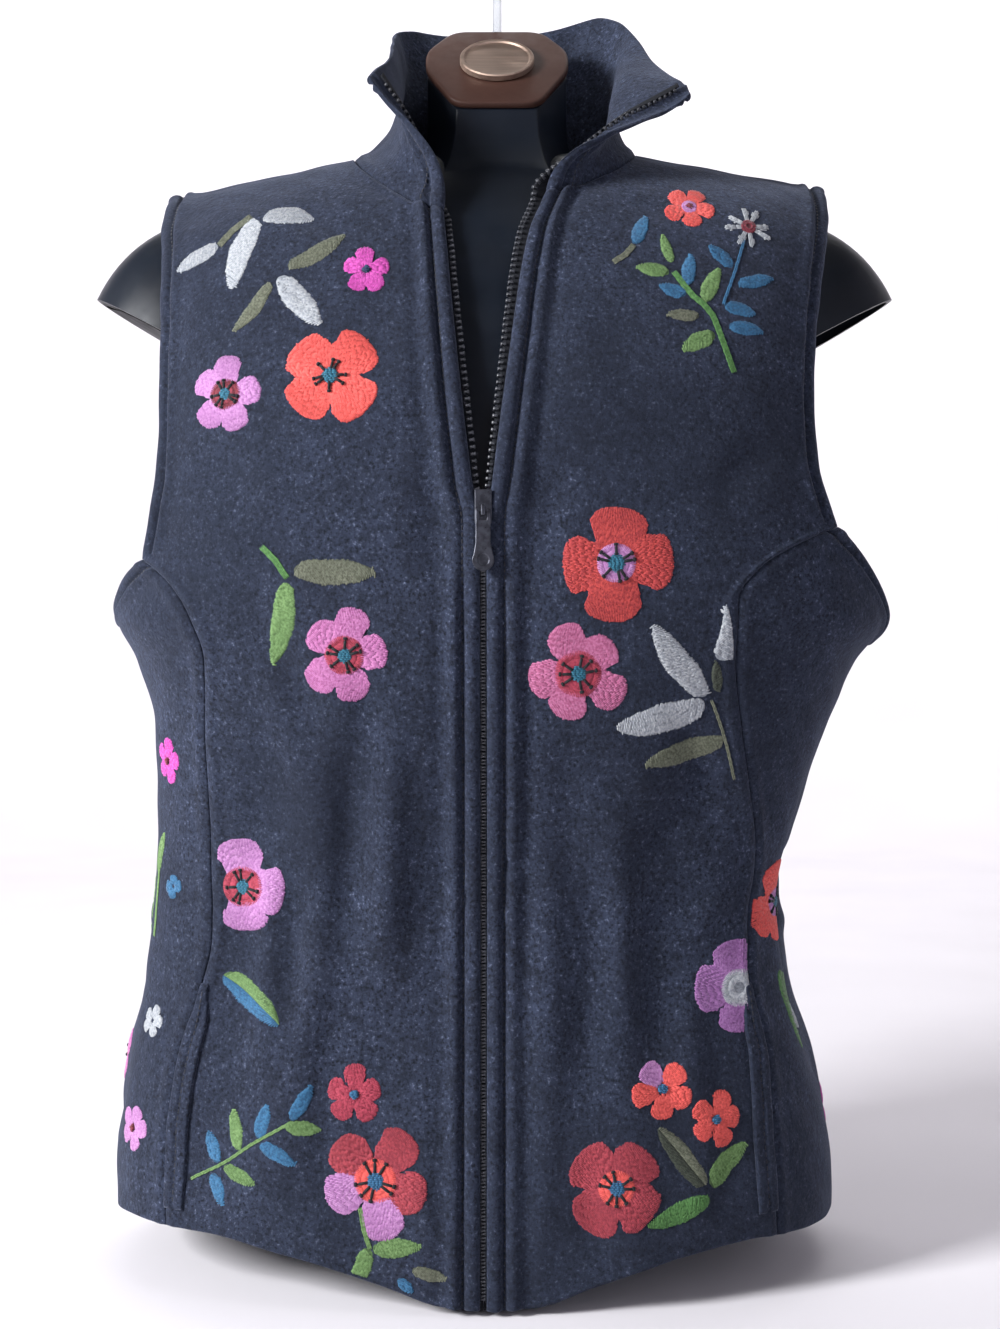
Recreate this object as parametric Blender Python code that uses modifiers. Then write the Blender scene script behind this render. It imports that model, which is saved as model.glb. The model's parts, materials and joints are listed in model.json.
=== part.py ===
"""Embroidered folk vest on a limbless torso display form.

Metres, +Z up. The vest's front faces -Y, and the form stands on z = 0. Left and right are the wearer's, as a
tailor names them: the wearer's right side is at -X.

The cloth is one body surface, cut into panels along the garment's seams. The surface is a stack of rings, worked
out from the table RINGS, and a place on it is an angle round the body and a level up it. Each panel is a grid of
such places between its four edges, and its wall is that grid and the same grid moved inwards.
"""

import math

import bmesh
import bpy
import numpy as np
from mathutils import Matrix, Vector

# ---------------------------------------------------------------- driving sizes

WALL = 0.0022  # felted wool, pressed
SEAM_GAP = 0.0003
ZIP_X = -0.0056  # the zip hangs a little to one side of the middle
ZIP_GAP = 0.0034  # between the two folded front edges
SLIDER_Z = 0.4326
BUST_HEIGHT = 0.4500  # where a front's grid turns from its lower half to its upper one
NECK_HALF_WIDTH = 0.085
SHOULDER_SLOPE = {1: 0.180, -1: 0.216}  # the left shoulder sits a little higher
SHOULDER_ROUNDING = 0.02

LEFT, RIGHT = 1, -1  # the wearer's sides, as signs of x
SIDE_NAMES = {LEFT: "left", RIGHT: "right"}

# The body surface, ring by ring from the hem's level to the top of the shoulders. "left" and "right" are half
# widths, "front" and "back" depths, "square" the exponent of the ring's outline, and "slope" how much of the
# shoulders' slope the ring has.
RING_COLUMNS = ("height", "left", "right", "front", "back", "square", "slope")
RINGS = (
    (0.000, 0.200, 0.222, 0.125, 0.114, 2.5, 0.00),
    (0.050, 0.201, 0.225, 0.121, 0.113, 2.5, 0.00),
    (0.110, 0.191, 0.221, 0.113, 0.107, 2.5, 0.00),
    (0.165, 0.178, 0.211, 0.106, 0.097, 2.5, 0.00),
    (0.210, 0.173, 0.206, 0.103, 0.089, 2.5, 0.00),
    (0.265, 0.185, 0.202, 0.109, 0.090, 2.5, 0.00),
    (0.315, 0.200, 0.203, 0.119, 0.096, 2.5, 0.00),
    (0.350, 0.214, 0.212, 0.126, 0.101, 2.5, 0.00),
    (0.380, 0.234, 0.225, 0.130, 0.106, 2.5, 0.00),
    (0.430, 0.222, 0.219, 0.133, 0.110, 2.6, 0.00),
    (0.480, 0.202, 0.207, 0.129, 0.114, 2.8, 0.00),
    (0.530, 0.197, 0.203, 0.116, 0.114, 3.2, 0.08),
    (0.575, 0.200, 0.202, 0.099, 0.104, 3.5, 0.30),
    (0.610, 0.203, 0.202, 0.081, 0.087, 3.5, 0.55),
    (0.638, 0.204, 0.202, 0.057, 0.061, 3.5, 0.80),
    (0.658, 0.204, 0.201, 0.030, 0.032, 3.5, 0.95),
    (0.6685, 0.204, 0.201, 0.000, 0.000, 3.5, 1.00),
)
TOP_LEVEL = float(len(RINGS) - 1)

# Height of the hem round the body: 0 is the middle of the front, 180 the middle of the back.
HEM_COLUMNS = ("angle", "left", "right")
HEM = (
    (0, 0.0030, 0.0030),
    (7, 0.0050, 0.0050),
    (15, 0.0145, 0.0150),
    (28, 0.0275, 0.0285),
    (42, 0.0330, 0.0365),
    (58, 0.0310, 0.0360),
    (90, 0.0290, 0.0270),
    (130, 0.0170, 0.0160),
    (180, 0.0120, 0.0120),
)

# Seam from the hem to the armhole in front, as height and distance from the middle.
FRONT_SEAM_COLUMNS = ("height", "x")
FRONT_SEAM = {
    RIGHT: (
        (0.020, 0.180), (0.045, 0.184), (0.085, 0.183), (0.130, 0.177), (0.165, 0.166), (0.200, 0.159),
        (0.265, 0.160), (0.315, 0.1615), (0.351, 0.160), (0.376, 0.168), (0.395, 0.181), (0.408, 0.1975),
    ),
    LEFT: (
        (0.020, 0.157), (0.045, 0.157), (0.085, 0.155), (0.130, 0.153), (0.175, 0.1435), (0.206, 0.144),
        (0.240, 0.148), (0.282, 0.1427), (0.311, 0.137), (0.3515, 0.132), (0.384, 0.132), (0.402, 0.145),
        (0.416, 0.169), (0.4256, 0.191),
    ),
}  # fmt: skip

# Edge of the armhole in front, from the seam above to the tip of the shoulder.
ARMHOLE_COLUMNS = ("height", "x")
FRONT_ARMHOLE = {
    RIGHT: ((0.408, 0.1975), (0.450, 0.190), (0.500, 0.188), (0.570, 0.190), (0.610, 0.1950), (0.640, 0.197)),
    LEFT: ((0.4256, 0.190), (0.460, 0.181), (0.500, 0.179), (0.530, 0.181), (0.570, 0.187), (0.610, 0.196),
           (0.640, 0.200)),
}  # fmt: skip
BACK_ARMHOLE = {
    RIGHT: ((0.440, 0.193), (0.480, 0.184), (0.530, 0.183), (0.580, 0.188), (0.610, 0.193), (0.640, 0.197)),
    LEFT: ((0.440, 0.190), (0.480, 0.181), (0.530, 0.181), (0.580, 0.187), (0.610, 0.194), (0.640, 0.200)),
}
BACK_SEAM_ANGLE = {RIGHT: 131.0, LEFT: 129.0}  # at the hem; it runs up to the back armhole's foot
UNDERARM_HEIGHT = {RIGHT: 0.380, LEFT: 0.366}

# The folded edge of each front, from above the slider to the neck, and how far its tape shows past it.
OPENING_COLUMNS = ("height", "x", "tape")
OPENING = {
    RIGHT: (
        (0.4240, ZIP_X - ZIP_GAP / 2, 0.00155), (0.4300, -0.0076, 0.0016), (0.4448, -0.0112, 0.0022),
        (0.4683, -0.0142, 0.0028), (0.5200, -0.0200, 0.0030), (0.6020, -0.0280, 0.0030),
    ),
    LEFT: (
        (0.4240, ZIP_X + ZIP_GAP / 2, 0.00155), (0.4300, -0.0036, 0.0016), (0.4448, -0.0012, 0.0022),
        (0.4683, 0.0018, 0.0027), (0.5200, 0.0085, 0.0040), (0.5880, 0.0190, 0.0060), (0.6150, 0.0290, 0.0070),
    ),
}  # fmt: skip
# Neckline in front, from the top of the opening to the shoulder seam, as height and distance from the middle.
NECKLINE_COLUMNS = ("height", "x")
FRONT_NECKLINE = {
    RIGHT: ((0.6020, 0.0280), (0.6075, 0.0420), (0.6170, 0.0570), (0.6300, 0.0715), (0.6430, 0.0810), (0.6550, 0.0850)),
    LEFT: ((0.6150, 0.0290), (0.6190, 0.0430), (0.6260, 0.0580), (0.6350, 0.0715), (0.6450, 0.0808), (0.6550, 0.0850)),
}
BACK_NECK_HEIGHT = 0.6560  # at the middle of the back

# The collar from its foot on the neckline out to its free edge, by three lines: where it rolls over, its middle and
# its upper edge. Each runs from the right front corner (0) round the back (0.5) to the left one (1).
COLLAR_COLUMNS = ("along", "x", "y", "z")  # along the neckline, right front 0 to left front 1
COLLAR_ROLL = (  # a third of the way up
    (0.00, -0.0335, -0.0815, 0.6330),
    (0.12, -0.0540, -0.0620, 0.6430),
    (0.20, -0.0610, -0.0340, 0.6560),
    (0.29, -0.0655, 0.0020, 0.6705),
    (0.37, -0.0540, 0.0160, 0.6850),
    (0.51, 0.0000, 0.0420, 0.6880),
    (0.66, 0.0580, 0.0240, 0.6890),
    (0.735, 0.0740, 0.0040, 0.6800),
    (0.84, 0.0690, -0.0380, 0.6670),
    (0.93, 0.0620, -0.0670, 0.6460),
    (1.00, 0.0500, -0.0820, 0.6385),
)
COLLAR_MIDDLE = (  # two thirds of the way up
    (0.00, -0.0520, -0.0795, 0.6560),
    (0.12, -0.0560, -0.0560, 0.6690),
    (0.20, -0.0570, -0.0300, 0.6830),
    (0.29, -0.0575, 0.0060, 0.6960),
    (0.37, -0.0560, 0.0240, 0.7140),
    (0.51, 0.0000, 0.0530, 0.7200),
    (0.66, 0.0600, 0.0360, 0.7240),
    (0.735, 0.0760, 0.0120, 0.7110),
    (0.84, 0.0750, -0.0300, 0.6910),
    (0.93, 0.0830, -0.0600, 0.6670),
    (1.00, 0.0850, -0.0730, 0.6550),
)
COLLAR_TOP = (  # the upper edge
    (0.00, -0.0714, -0.0750, 0.6794),
    (0.06, -0.0692, -0.0620, 0.6875),
    (0.14, -0.0638, -0.0430, 0.6989),
    (0.22, -0.0620, -0.0200, 0.7130),
    (0.29, -0.0628, 0.0040, 0.7270),
    (0.36, -0.0625, 0.0300, 0.7420),
    (0.42, -0.0500, 0.0520, 0.7505),
    (0.51, 0.0000, 0.0660, 0.7510),
    (0.60, 0.0360, 0.0620, 0.7545),
    (0.66, 0.0640, 0.0490, 0.7580),
    (0.70, 0.0770, 0.0370, 0.7520),
    (0.76, 0.0879, 0.0100, 0.7304),
    (0.83, 0.0950, -0.0140, 0.7075),
    (0.89, 0.1035, -0.0350, 0.6924),
    (0.95, 0.1110, -0.0520, 0.6815),
    (1.00, 0.1125, -0.0600, 0.6745),
)

# The largest soft folds: where each lies, at its low and high end, how wide it is and how far it stands out.
FOLD_COLUMNS = ("low angle", "low height", "high angle", "high height", "width in degrees", "depth")
FOLDS = (
    (-43, 0.050, -33, 0.400, 6.0, -0.0040),
    (-30, 0.060, -24, 0.380, 5.0, 0.0030),
    (-18, 0.020, -15, 0.230, 4.5, -0.0025),
    (22, 0.010, 20, 0.300, 5.5, 0.0030),
    (36, 0.060, 30, 0.390, 6.0, -0.0035),
    (80, 0.120, 72, 0.330, 9.0, -0.0080),
    (103, 0.060, 112, 0.340, 9.0, 0.0050),
    (-78, 0.090, -84, 0.330, 8.0, -0.0045),
    (-104, 0.040, -110, 0.340, 9.0, 0.0045),
    (150, 0.010, 158, 0.400, 7.0, -0.0050),
    (170, 0.010, 174, 0.330, 6.0, 0.0035),
    (-166, 0.010, -162, 0.380, 6.5, -0.0045),
    (-146, 0.010, -150, 0.300, 7.0, 0.0040),
)

# Columns and rows of the panels' grids
ROWS_BELOW_ARMHOLE = 13
ROWS_ABOVE_ARMHOLE = 11
NECK_COLUMNS = 6
SHOULDER_COLUMNS = 7
BACK_NECK_COLUMNS = 12
SIDE_PANEL_COLUMNS = 7
COLLAR_ROWS = 6

# What stands up from a panel's face along its edges
EDGE_BAND = 0.0110  # width of the stitched fold at the front edges, armholes and hem
EDGE_RISE = 0.0009
POCKET_LIP_WIDTH = 0.0130
POCKET_LIP_THICKNESS = 0.0013
POCKET_TOP = 0.170
POCKET_BOTTOM = 0.046
POCKET_ROWS = 8

TAPE_THICKNESS = 0.0010
TAPE_CLEARANCE_AT_NECK = 0.0014  # the tape passes behind the neck seam and up the collar a little looser
TEETH_RISE = 0.0016
TEETH_WIDTH = 0.0010

BLACK_WOOL = ("felted_wool", "#23252D", 0.95, 0.0)
GUNMETAL = ("gunmetal_zip", "#3C3D40", 0.35, 1.0)
BLACK_TAPE = ("zip_tape", "#1B1C20", 0.85, 0.0)
GLOSSY_PLASTIC = ("black_polystyrene", "#0B0B0D", 0.12, 0.0)
BROWN_PLASTIC = ("brown_neck_plate", "#4A322C", 0.35, 0.0)
SILVER = ("brushed_disc", "#B9B7B4", 0.30, 1.0)
CLEAR_PLASTIC = ("clear_hook", "#C9CDD0", 0.15, 0.0)


# ---------------------------------------------------------------- scene and materials

for old_object in list(bpy.data.objects):
    bpy.data.objects.remove(old_object, do_unlink=True)

parts = bpy.data.collections.new("folk_vest_on_torso_form")
cutters = bpy.data.collections.new("cutters")
bpy.context.scene.collection.children.link(parts)
bpy.context.scene.collection.children.link(cutters)


def linear(hex_colour):
    """An sRGB hex colour as the linear values that a shader takes."""
    channels = [int(hex_colour[i : i + 2], 16) / 255 for i in (1, 3, 5)]
    return [c / 12.92 if c <= 0.04045 else ((c + 0.055) / 1.055) ** 2.4 for c in channels] + [1.0]


def material(finish):
    name, colour, roughness, metallic = finish
    made = bpy.data.materials.get(name)
    if made is None:
        made = bpy.data.materials.new(name)
        made.use_nodes = True
        shader = made.node_tree.nodes["Principled BSDF"]
        shader.inputs["Base Color"].default_value = linear(colour)
        shader.inputs["Roughness"].default_value = roughness
        shader.inputs["Metallic"].default_value = metallic
    return made


def add_part(name, mesh, finish, sharp_angle=40.0):
    """A mesh as a named object of the part, shaded smooth but for its real corners."""
    mesh.shade_smooth()
    mesh.set_sharp_from_angle(angle=math.radians(sharp_angle))
    made = bpy.data.objects.new(name, mesh)
    made.data.materials.clear()
    made.data.materials.append(material(finish))
    parts.objects.link(made)
    return made


# ---------------------------------------------------------------- curves through tables


def smooth_track(keys, values, at):
    """A smooth curve through keyed values that never swings past them, read at the keys given."""
    keys, values = np.asarray(keys, float), np.asarray(values, float)
    steps = np.diff(keys)
    slopes = np.diff(values) / steps
    tangents = np.concatenate([slopes[:1], np.zeros(len(slopes) - 1), slopes[-1:]])
    for i in range(1, len(slopes)):
        if slopes[i - 1] * slopes[i] > 0:
            before, after = 2 * steps[i] + steps[i - 1], steps[i] + 2 * steps[i - 1]
            tangents[i] = (before + after) / (before / slopes[i - 1] + after / slopes[i])
    at = np.clip(np.asarray(at, float), keys[0], keys[-1])
    i = np.clip(np.searchsorted(keys, at, side="right") - 1, 0, len(steps) - 1)
    t = (at - keys[i]) / steps[i]
    return (
        (1 + 2 * t) * (1 - t) ** 2 * values[i]
        + t * (1 - t) ** 2 * steps[i] * tangents[i]
        + t**2 * (3 - 2 * t) * values[i + 1]
        + t**2 * (t - 1) * steps[i] * tangents[i + 1]
    )


def read(table, columns, key, value, at):
    rows = np.asarray(table, float)
    return smooth_track(rows[:, columns.index(key)], rows[:, columns.index(value)], at)


def ring_value(column, level):
    values = [row[RING_COLUMNS.index(column)] for row in RINGS]
    return smooth_track(np.arange(len(RINGS)), values, level)


# ---------------------------------------------------------------- the body surface


def superellipse(angle, square):
    """The unit outline at an angle from the front, as (across, forward)."""
    across, forward = np.sin(angle), np.cos(angle)
    reach = (np.abs(across) ** square + np.abs(forward) ** square) ** (-1 / square)
    return across * reach, forward * reach


def shoulder_fall(x):
    slope = np.where(np.asarray(x) > 0, SHOULDER_SLOPE[LEFT], SHOULDER_SLOPE[RIGHT])
    return slope * (np.sqrt(np.square(x) + SHOULDER_ROUNDING**2) - SHOULDER_ROUNDING)


def body_point(angle, level):
    """The smooth body at an angle in radians and a level. Past the top level it goes on down the other side."""
    angle, level = np.broadcast_arrays(np.asarray(angle, float), np.asarray(level, float))
    over = level > TOP_LEVEL
    angle = np.where(over, np.pi - angle, angle)
    level = np.where(over, 2 * TOP_LEVEL - level, level)
    across, forward = superellipse(angle, ring_value("square", level))
    half_width = np.where(across > 0, ring_value("left", level), ring_value("right", level))
    depth = np.where(forward > 0, ring_value("front", level), ring_value("back", level))
    x = across * half_width
    z = ring_value("height", level) - ring_value("slope", level) * shoulder_fall(x)
    return np.stack([x, -forward * depth, z], axis=-1)


def normals_of(surface, angle, level):
    """Outward normals of a surface, from points a little to each side."""
    step_angle, step_level = 0.01, 0.02
    low = np.maximum(level - step_level, 0.0)
    along = surface(angle + step_angle, level) - surface(angle - step_angle, level)
    up = surface(angle, level + step_level) - surface(angle, low)
    normal = np.cross(along, up)
    return normal / np.linalg.norm(normal, axis=-1, keepdims=True)


def fold_depth(angle, height):
    """How far the soft folds move the cloth out (or in, if negative)."""
    total = np.zeros(np.broadcast(angle, height).shape)
    for low_angle, low, high_angle, high, width, depth in FOLDS:
        t = np.clip((height - low) / (high - low), 0, 1)
        middle = np.radians(low_angle + (high_angle - low_angle) * t)
        off = (angle - middle + np.pi) % (2 * np.pi) - np.pi
        fade = np.clip((height - low) / 0.03 + 0.6, 0, 1) * np.clip((high - height) / 0.12, 0, 1)
        total += depth * np.exp(-((off / math.radians(width)) ** 2)) * fade
    return total


def cloth_point(angle, level):
    """The cloth's outer face, with its folds."""
    smooth = body_point(angle, level)
    depth = fold_depth(angle, smooth[..., 2])
    return smooth + normals_of(body_point, angle, np.asarray(level, float)) * depth[..., None]


def level_at(x, height):
    """The level whose cloth is at this height, at a distance x from the middle."""
    low, high = np.zeros(np.shape(height)), np.full(np.shape(height), TOP_LEVEL)
    for _ in range(40):
        middle = (low + high) / 2
        too_low = ring_value("height", middle) - ring_value("slope", middle) * shoulder_fall(x) < height
        low, high = np.where(too_low, middle, low), np.where(too_low, high, middle)
    return (low + high) / 2


def angle_at(x, level, behind=False):
    """The angle at which the ring of a level has this x, in front or behind."""
    half_width = np.where(x > 0, ring_value("left", level), ring_value("right", level))
    share = np.clip(np.abs(x) / half_width, 0, 1)
    low, high = np.zeros(np.shape(share)), np.full(np.shape(share), np.pi / 2)
    for _ in range(40):
        middle = (low + high) / 2
        too_low = superellipse(middle, ring_value("square", level))[0] < share
        low, high = np.where(too_low, middle, low), np.where(too_low, high, middle)
    angle = (low + high) / 2
    return np.sign(x) * (np.pi - angle if behind else angle)


def place(x, height, behind=False):
    """(angle, level) of the cloth at a height and a distance from the middle."""
    x, height = np.asarray(x, float), np.asarray(height, float)
    level = level_at(x, height)
    return np.stack([angle_at(x, level, behind), level], axis=-1)


def hem_height(angle):
    """Height of the hem at an angle, which may have gone past half a turn."""
    turned = np.degrees((np.asarray(angle) + np.pi) % (2 * np.pi) - np.pi)
    by_side = [read(HEM, HEM_COLUMNS, "angle", column, np.abs(turned)) for column in ("left", "right")]
    return np.where(turned > 0, *by_side)


def hem_place(angle):
    return np.stack([angle, level_at(0.0, hem_height(angle))], axis=-1)


# ---------------------------------------------------------------- edges of the panels, as places


def shares_of(edge):
    """How far along an edge each of its points is, from 0 to 1."""
    lengths = np.linalg.norm(np.diff(cloth_point(edge[:, 0], edge[:, 1]), axis=0), axis=1)
    return np.concatenate([[0], np.cumsum(lengths)]) / lengths.sum()


def evenly(edge, steps, first=None):
    """The same edge with points the same length of cloth apart, but for a short first step."""
    points = cloth_point(edge[:, 0], edge[:, 1])
    lengths = np.concatenate([[0], np.cumsum(np.linalg.norm(np.diff(points, axis=0), axis=1))])
    wanted = spaced(0.0, lengths[-1], steps, first)
    return np.stack([np.interp(wanted, lengths, edge[:, i]) for i in (0, 1)], axis=-1)


def spaced(start, end, steps, first=None):
    """Even steps, or with a short first step of a given size."""
    if first is None:
        return np.linspace(start, end, steps + 1)
    return np.concatenate([[start], np.linspace(start + first, end, steps)])


def centre_edge(side):
    """The folded front edge, from the hem to the neck."""
    below = spaced(float(hem_height(0.0)), BUST_HEIGHT, ROWS_BELOW_ARMHOLE, EDGE_BAND)
    above = spaced(BUST_HEIGHT, OPENING[side][-1][0], ROWS_ABOVE_ARMHOLE)
    heights = np.concatenate([below, above[1:]])
    return place(read(OPENING[side], OPENING_COLUMNS, "height", "x", heights), heights)


def front_seam_edge(side):
    """The seam between a front and its side panel, from the hem to the armhole."""
    table = FRONT_SEAM[side]
    foot = hem_height(angle_at(side * table[0][1], 0.3))
    heights = np.linspace(float(foot), table[-1][0], 80)
    dense = place(side * read(table, FRONT_SEAM_COLUMNS, "height", "x", heights), heights)
    return evenly(dense, ROWS_BELOW_ARMHOLE, EDGE_BAND)


def back_seam_edge(side):
    """The seam between a side panel and the back, from the hem to the armhole."""
    foot = hem_place(np.array(side * math.radians(BACK_SEAM_ANGLE[side])))
    head = place(side * BACK_ARMHOLE[side][0][1], BACK_ARMHOLE[side][0][0], behind=True)
    heights = spaced(float(ring_value("height", foot[1])), BACK_ARMHOLE[side][0][0], ROWS_BELOW_ARMHOLE, EDGE_BAND)
    levels = level_at(0.0, heights)
    angles = foot[0] + (head[0] - foot[0]) * (levels - foot[1]) / (head[1] - foot[1])
    levels[-1] = head[1]
    return np.stack([angles, levels], axis=-1)


def armhole_edge(side, behind):
    table = (BACK_ARMHOLE if behind else FRONT_ARMHOLE)[side]
    tip_x = table[-1][1]
    foot = place(side * table[0][1], table[0][0], behind)
    levels = spaced(float(foot[1]), TOP_LEVEL, ROWS_ABOVE_ARMHOLE)
    x = np.full(len(levels), tip_x)
    for _ in range(12):
        heights = ring_value("height", levels) - ring_value("slope", levels) * shoulder_fall(x)
        x = read(table, ARMHOLE_COLUMNS, "height", "x", heights)
    x[0], x[-1] = table[0][1], tip_x
    return np.stack([angle_at(side * x, levels, behind), levels], axis=-1)


def shoulder_edge(side, behind):
    """The shoulder seam from the neck out to the tip: it lies on the top level."""
    x = side * spaced(NECK_HALF_WIDTH, FRONT_ARMHOLE[side][-1][1], SHOULDER_COLUMNS)
    levels = np.full(len(x), TOP_LEVEL)
    return np.stack([angle_at(x, levels, behind), levels], axis=-1)


def front_neckline(side):
    """From the top of the opening to the shoulder seam."""
    rows = np.asarray(FRONT_NECKLINE[side], float)
    x = np.linspace(rows[0, 1], NECK_HALF_WIDTH, 60)
    points = place(side * x, smooth_track(rows[:, 1], rows[:, 0], x))
    points[-1] = shoulder_edge(side, False)[0]
    return evenly(points, NECK_COLUMNS, EDGE_BAND / 2)


def back_neckline():
    """From the left shoulder seam round the back of the neck to the right one."""
    turn = np.linspace(0, np.pi, 120)
    end_height = ring_value("height", TOP_LEVEL) - shoulder_fall(NECK_HALF_WIDTH)
    heights = end_height - (end_height - BACK_NECK_HEIGHT) * np.sin(turn)
    points = place(NECK_HALF_WIDTH * np.cos(turn), heights, behind=True)
    points[:, 0] %= 2 * np.pi
    points[0] = shoulder_edge(LEFT, True)[0]
    points[-1] = shoulder_edge(RIGHT, True)[0] + [2 * np.pi, 0]
    return evenly(points, BACK_NECK_COLUMNS)


# ---------------------------------------------------------------- grids of places, and walls


def filled(bottom, top, start, end):
    """A grid of places between four edges. Rows run from bottom to top, columns from start to end.

    It is the flat grid between the corners, plus how far each edge bows from the straight line between its own
    corners, which fades with the square of the distance from that edge.
    """
    u = ((shares_of(bottom) + shares_of(top)) / 2)[None, :, None]
    v = ((shares_of(start) + shares_of(end)) / 2)[:, None, None]

    def bow(edge, share):
        return edge - (edge[0] * (1 - share) + edge[-1] * share)

    flat = (bottom[0] * (1 - u) + bottom[-1] * u) * (1 - v) + (top[0] * (1 - u) + top[-1] * u) * v
    across = bow(start, v[:, 0])[:, None] * (1 - u) ** 2 + bow(end, v[:, 0])[:, None] * u**2
    along = bow(bottom, u[0])[None] * (1 - v) ** 2 + bow(top, u[0])[None] * v**2
    return flat + across + along


def stacked(bottom, top, start, end):
    """A grid of places in two halves, which meet in a straight row from armhole to edge or to armhole."""
    turn_row = ROWS_BELOW_ARMHOLE
    shares = shares_of(top)[:, None]
    middle = start[turn_row] + (end[turn_row] - start[turn_row]) * shares
    lower = filled(bottom, middle, start[: turn_row + 1], end[: turn_row + 1])
    upper = filled(middle, top, start[turn_row:], end[turn_row:])
    return np.concatenate([lower, upper[1:]])


def front_places(side):
    """A front's grid of places: rows from hem to shoulder, columns from the zip outwards."""
    start = centre_edge(side)
    end = np.concatenate([front_seam_edge(side), armhole_edge(side, False)[1:]])
    top = np.concatenate([front_neckline(side), shoulder_edge(side, False)[1:]])
    bottom = hem_place(start[0, 0] + (end[0, 0] - start[0, 0]) * shares_of(top))
    start[0], end[0] = bottom[0], bottom[-1]
    top[0], top[-1] = start[-1], end[-1]
    return stacked(bottom, top, start, end)


def side_places(side):
    """A side panel's grid: columns from the front seam round to the back seam."""
    start, end = front_seam_edge(side), back_seam_edge(side)
    shares = np.linspace(0, 1, SIDE_PANEL_COLUMNS + 1)
    bottom = hem_place(start[0, 0] + (end[0, 0] - start[0, 0]) * shares)
    start[0], end[0] = bottom[0], bottom[-1]
    angles = start[-1, 0] + (end[-1, 0] - start[-1, 0]) * shares
    ends = body_point(np.array([start[-1, 0], end[-1, 0]]), np.array([start[-1, 1], end[-1, 1]]))[:, 2]
    heights = smooth_track([0, 0.45, 1], [ends[0], UNDERARM_HEIGHT[side], ends[1]], shares)
    top = np.stack([angles, level_at(0.0, heights)], axis=-1)
    top[0], top[-1] = start[-1], end[-1]
    return filled(bottom, top, start, end)


def back_places():
    """The back's grid: columns from the left seam round the back to the right seam."""
    turn = np.array([2 * np.pi, 0])
    start = np.concatenate([back_seam_edge(LEFT), armhole_edge(LEFT, True)[1:]])
    end = np.concatenate([back_seam_edge(RIGHT), armhole_edge(RIGHT, True)[1:]]) + turn
    left_shoulder = shoulder_edge(LEFT, True)[::-1]
    right_shoulder = shoulder_edge(RIGHT, True) + turn
    top = np.concatenate([left_shoulder, back_neckline()[1:-1], right_shoulder])
    bottom = hem_place(start[0, 0] + (end[0, 0] - start[0, 0]) * shares_of(top))
    start[0], end[0] = bottom[0], bottom[-1]
    return stacked(bottom, top, start, end)


def wall_mesh(name, outer, inner):
    """A closed wall between two matching grids of points."""
    rows, columns = outer.shape[:2]
    cells = np.arange(rows * columns).reshape(rows, columns)
    points = np.concatenate([outer.reshape(-1, 3), inner.reshape(-1, 3)])
    a, b = cells[:-1, :-1].ravel(), cells[:-1, 1:].ravel()
    c, d = cells[1:, 1:].ravel(), cells[1:, :-1].ravel()
    face = np.concatenate([np.stack([a, b, c], 1), np.stack([a, c, d], 1)])
    behind = face[:, ::-1] + rows * columns
    rim = np.concatenate([cells[0, :], cells[1:, -1], cells[-1, -2::-1], cells[-2:0:-1, 0]])
    onward = np.roll(rim, -1)
    edge = np.concatenate(
        [
            np.stack([rim, rim + rows * columns, onward], 1),
            np.stack([onward, rim + rows * columns, onward + rows * columns], 1),
        ]
    )
    mesh = bpy.data.meshes.new(name)
    mesh.from_pydata(points.tolist(), [], np.concatenate([face, behind, edge]).tolist())
    tool = bmesh.new()
    tool.from_mesh(mesh)
    bmesh.ops.recalc_face_normals(tool, faces=tool.faces)
    tool.to_mesh(mesh)
    tool.free()
    return mesh


def drawn_in(points, gap, rows=True, columns=True):
    """A grid with its rim moved in along the surface, which leaves the gap of a seam."""
    moved = points.copy()
    for wanted, axis in ((rows, 0), (columns, 1)):
        if not wanted:
            continue
        grid = np.moveaxis(moved, axis, 0)
        for edge, inward in ((0, 1), (-1, -2)):
            way = grid[inward] - grid[edge]
            grid[edge] += way / np.linalg.norm(way, axis=-1, keepdims=True) * gap / 2
    return moved


def panel(name, places, rise):
    """A panel's wall, and its outer face, inner face and normals for what is sewn to it."""
    angle, level = places[..., 0], places[..., 1]
    face, normal = cloth_point(angle, level), normals_of(cloth_point, angle, level)
    outer = drawn_in(face + normal * rise[..., None], SEAM_GAP)
    inner = drawn_in(face - normal * WALL, SEAM_GAP)
    add_part(name, wall_mesh(name, outer, inner), BLACK_WOOL)
    return {"outer": outer, "inner": inner, "normal": normal}


def edge_rise(shape, sides, first_row=0):
    """Raised bands along the named sides of a grid: the second line of points from a folded edge stands up."""
    rise = np.zeros(shape)
    for row_or_column in sides:
        if row_or_column == "hem":
            rise[1, :] = EDGE_RISE
        elif row_or_column == "start":
            rise[:, 0:2] = EDGE_RISE * np.array([0.5, 1.0])
        elif row_or_column == "end":
            rise[first_row:, -2] = EDGE_RISE
    return rise


fronts, sides = {}, {}
for side, side_name in SIDE_NAMES.items():
    places = front_places(side)
    rise = edge_rise(places.shape[:2], ("hem", "start", "end"), ROWS_BELOW_ARMHOLE + 1)
    fronts[side] = panel(f"front_{side_name}", places, rise)
    places = side_places(side)
    sides[side] = panel(f"side_{side_name}", places, edge_rise(places.shape[:2], ("hem",)))
places = back_places()
back = panel("back", places, edge_rise(places.shape[:2], ("hem",)))


# ---------------------------------------------------------------- collar


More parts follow.
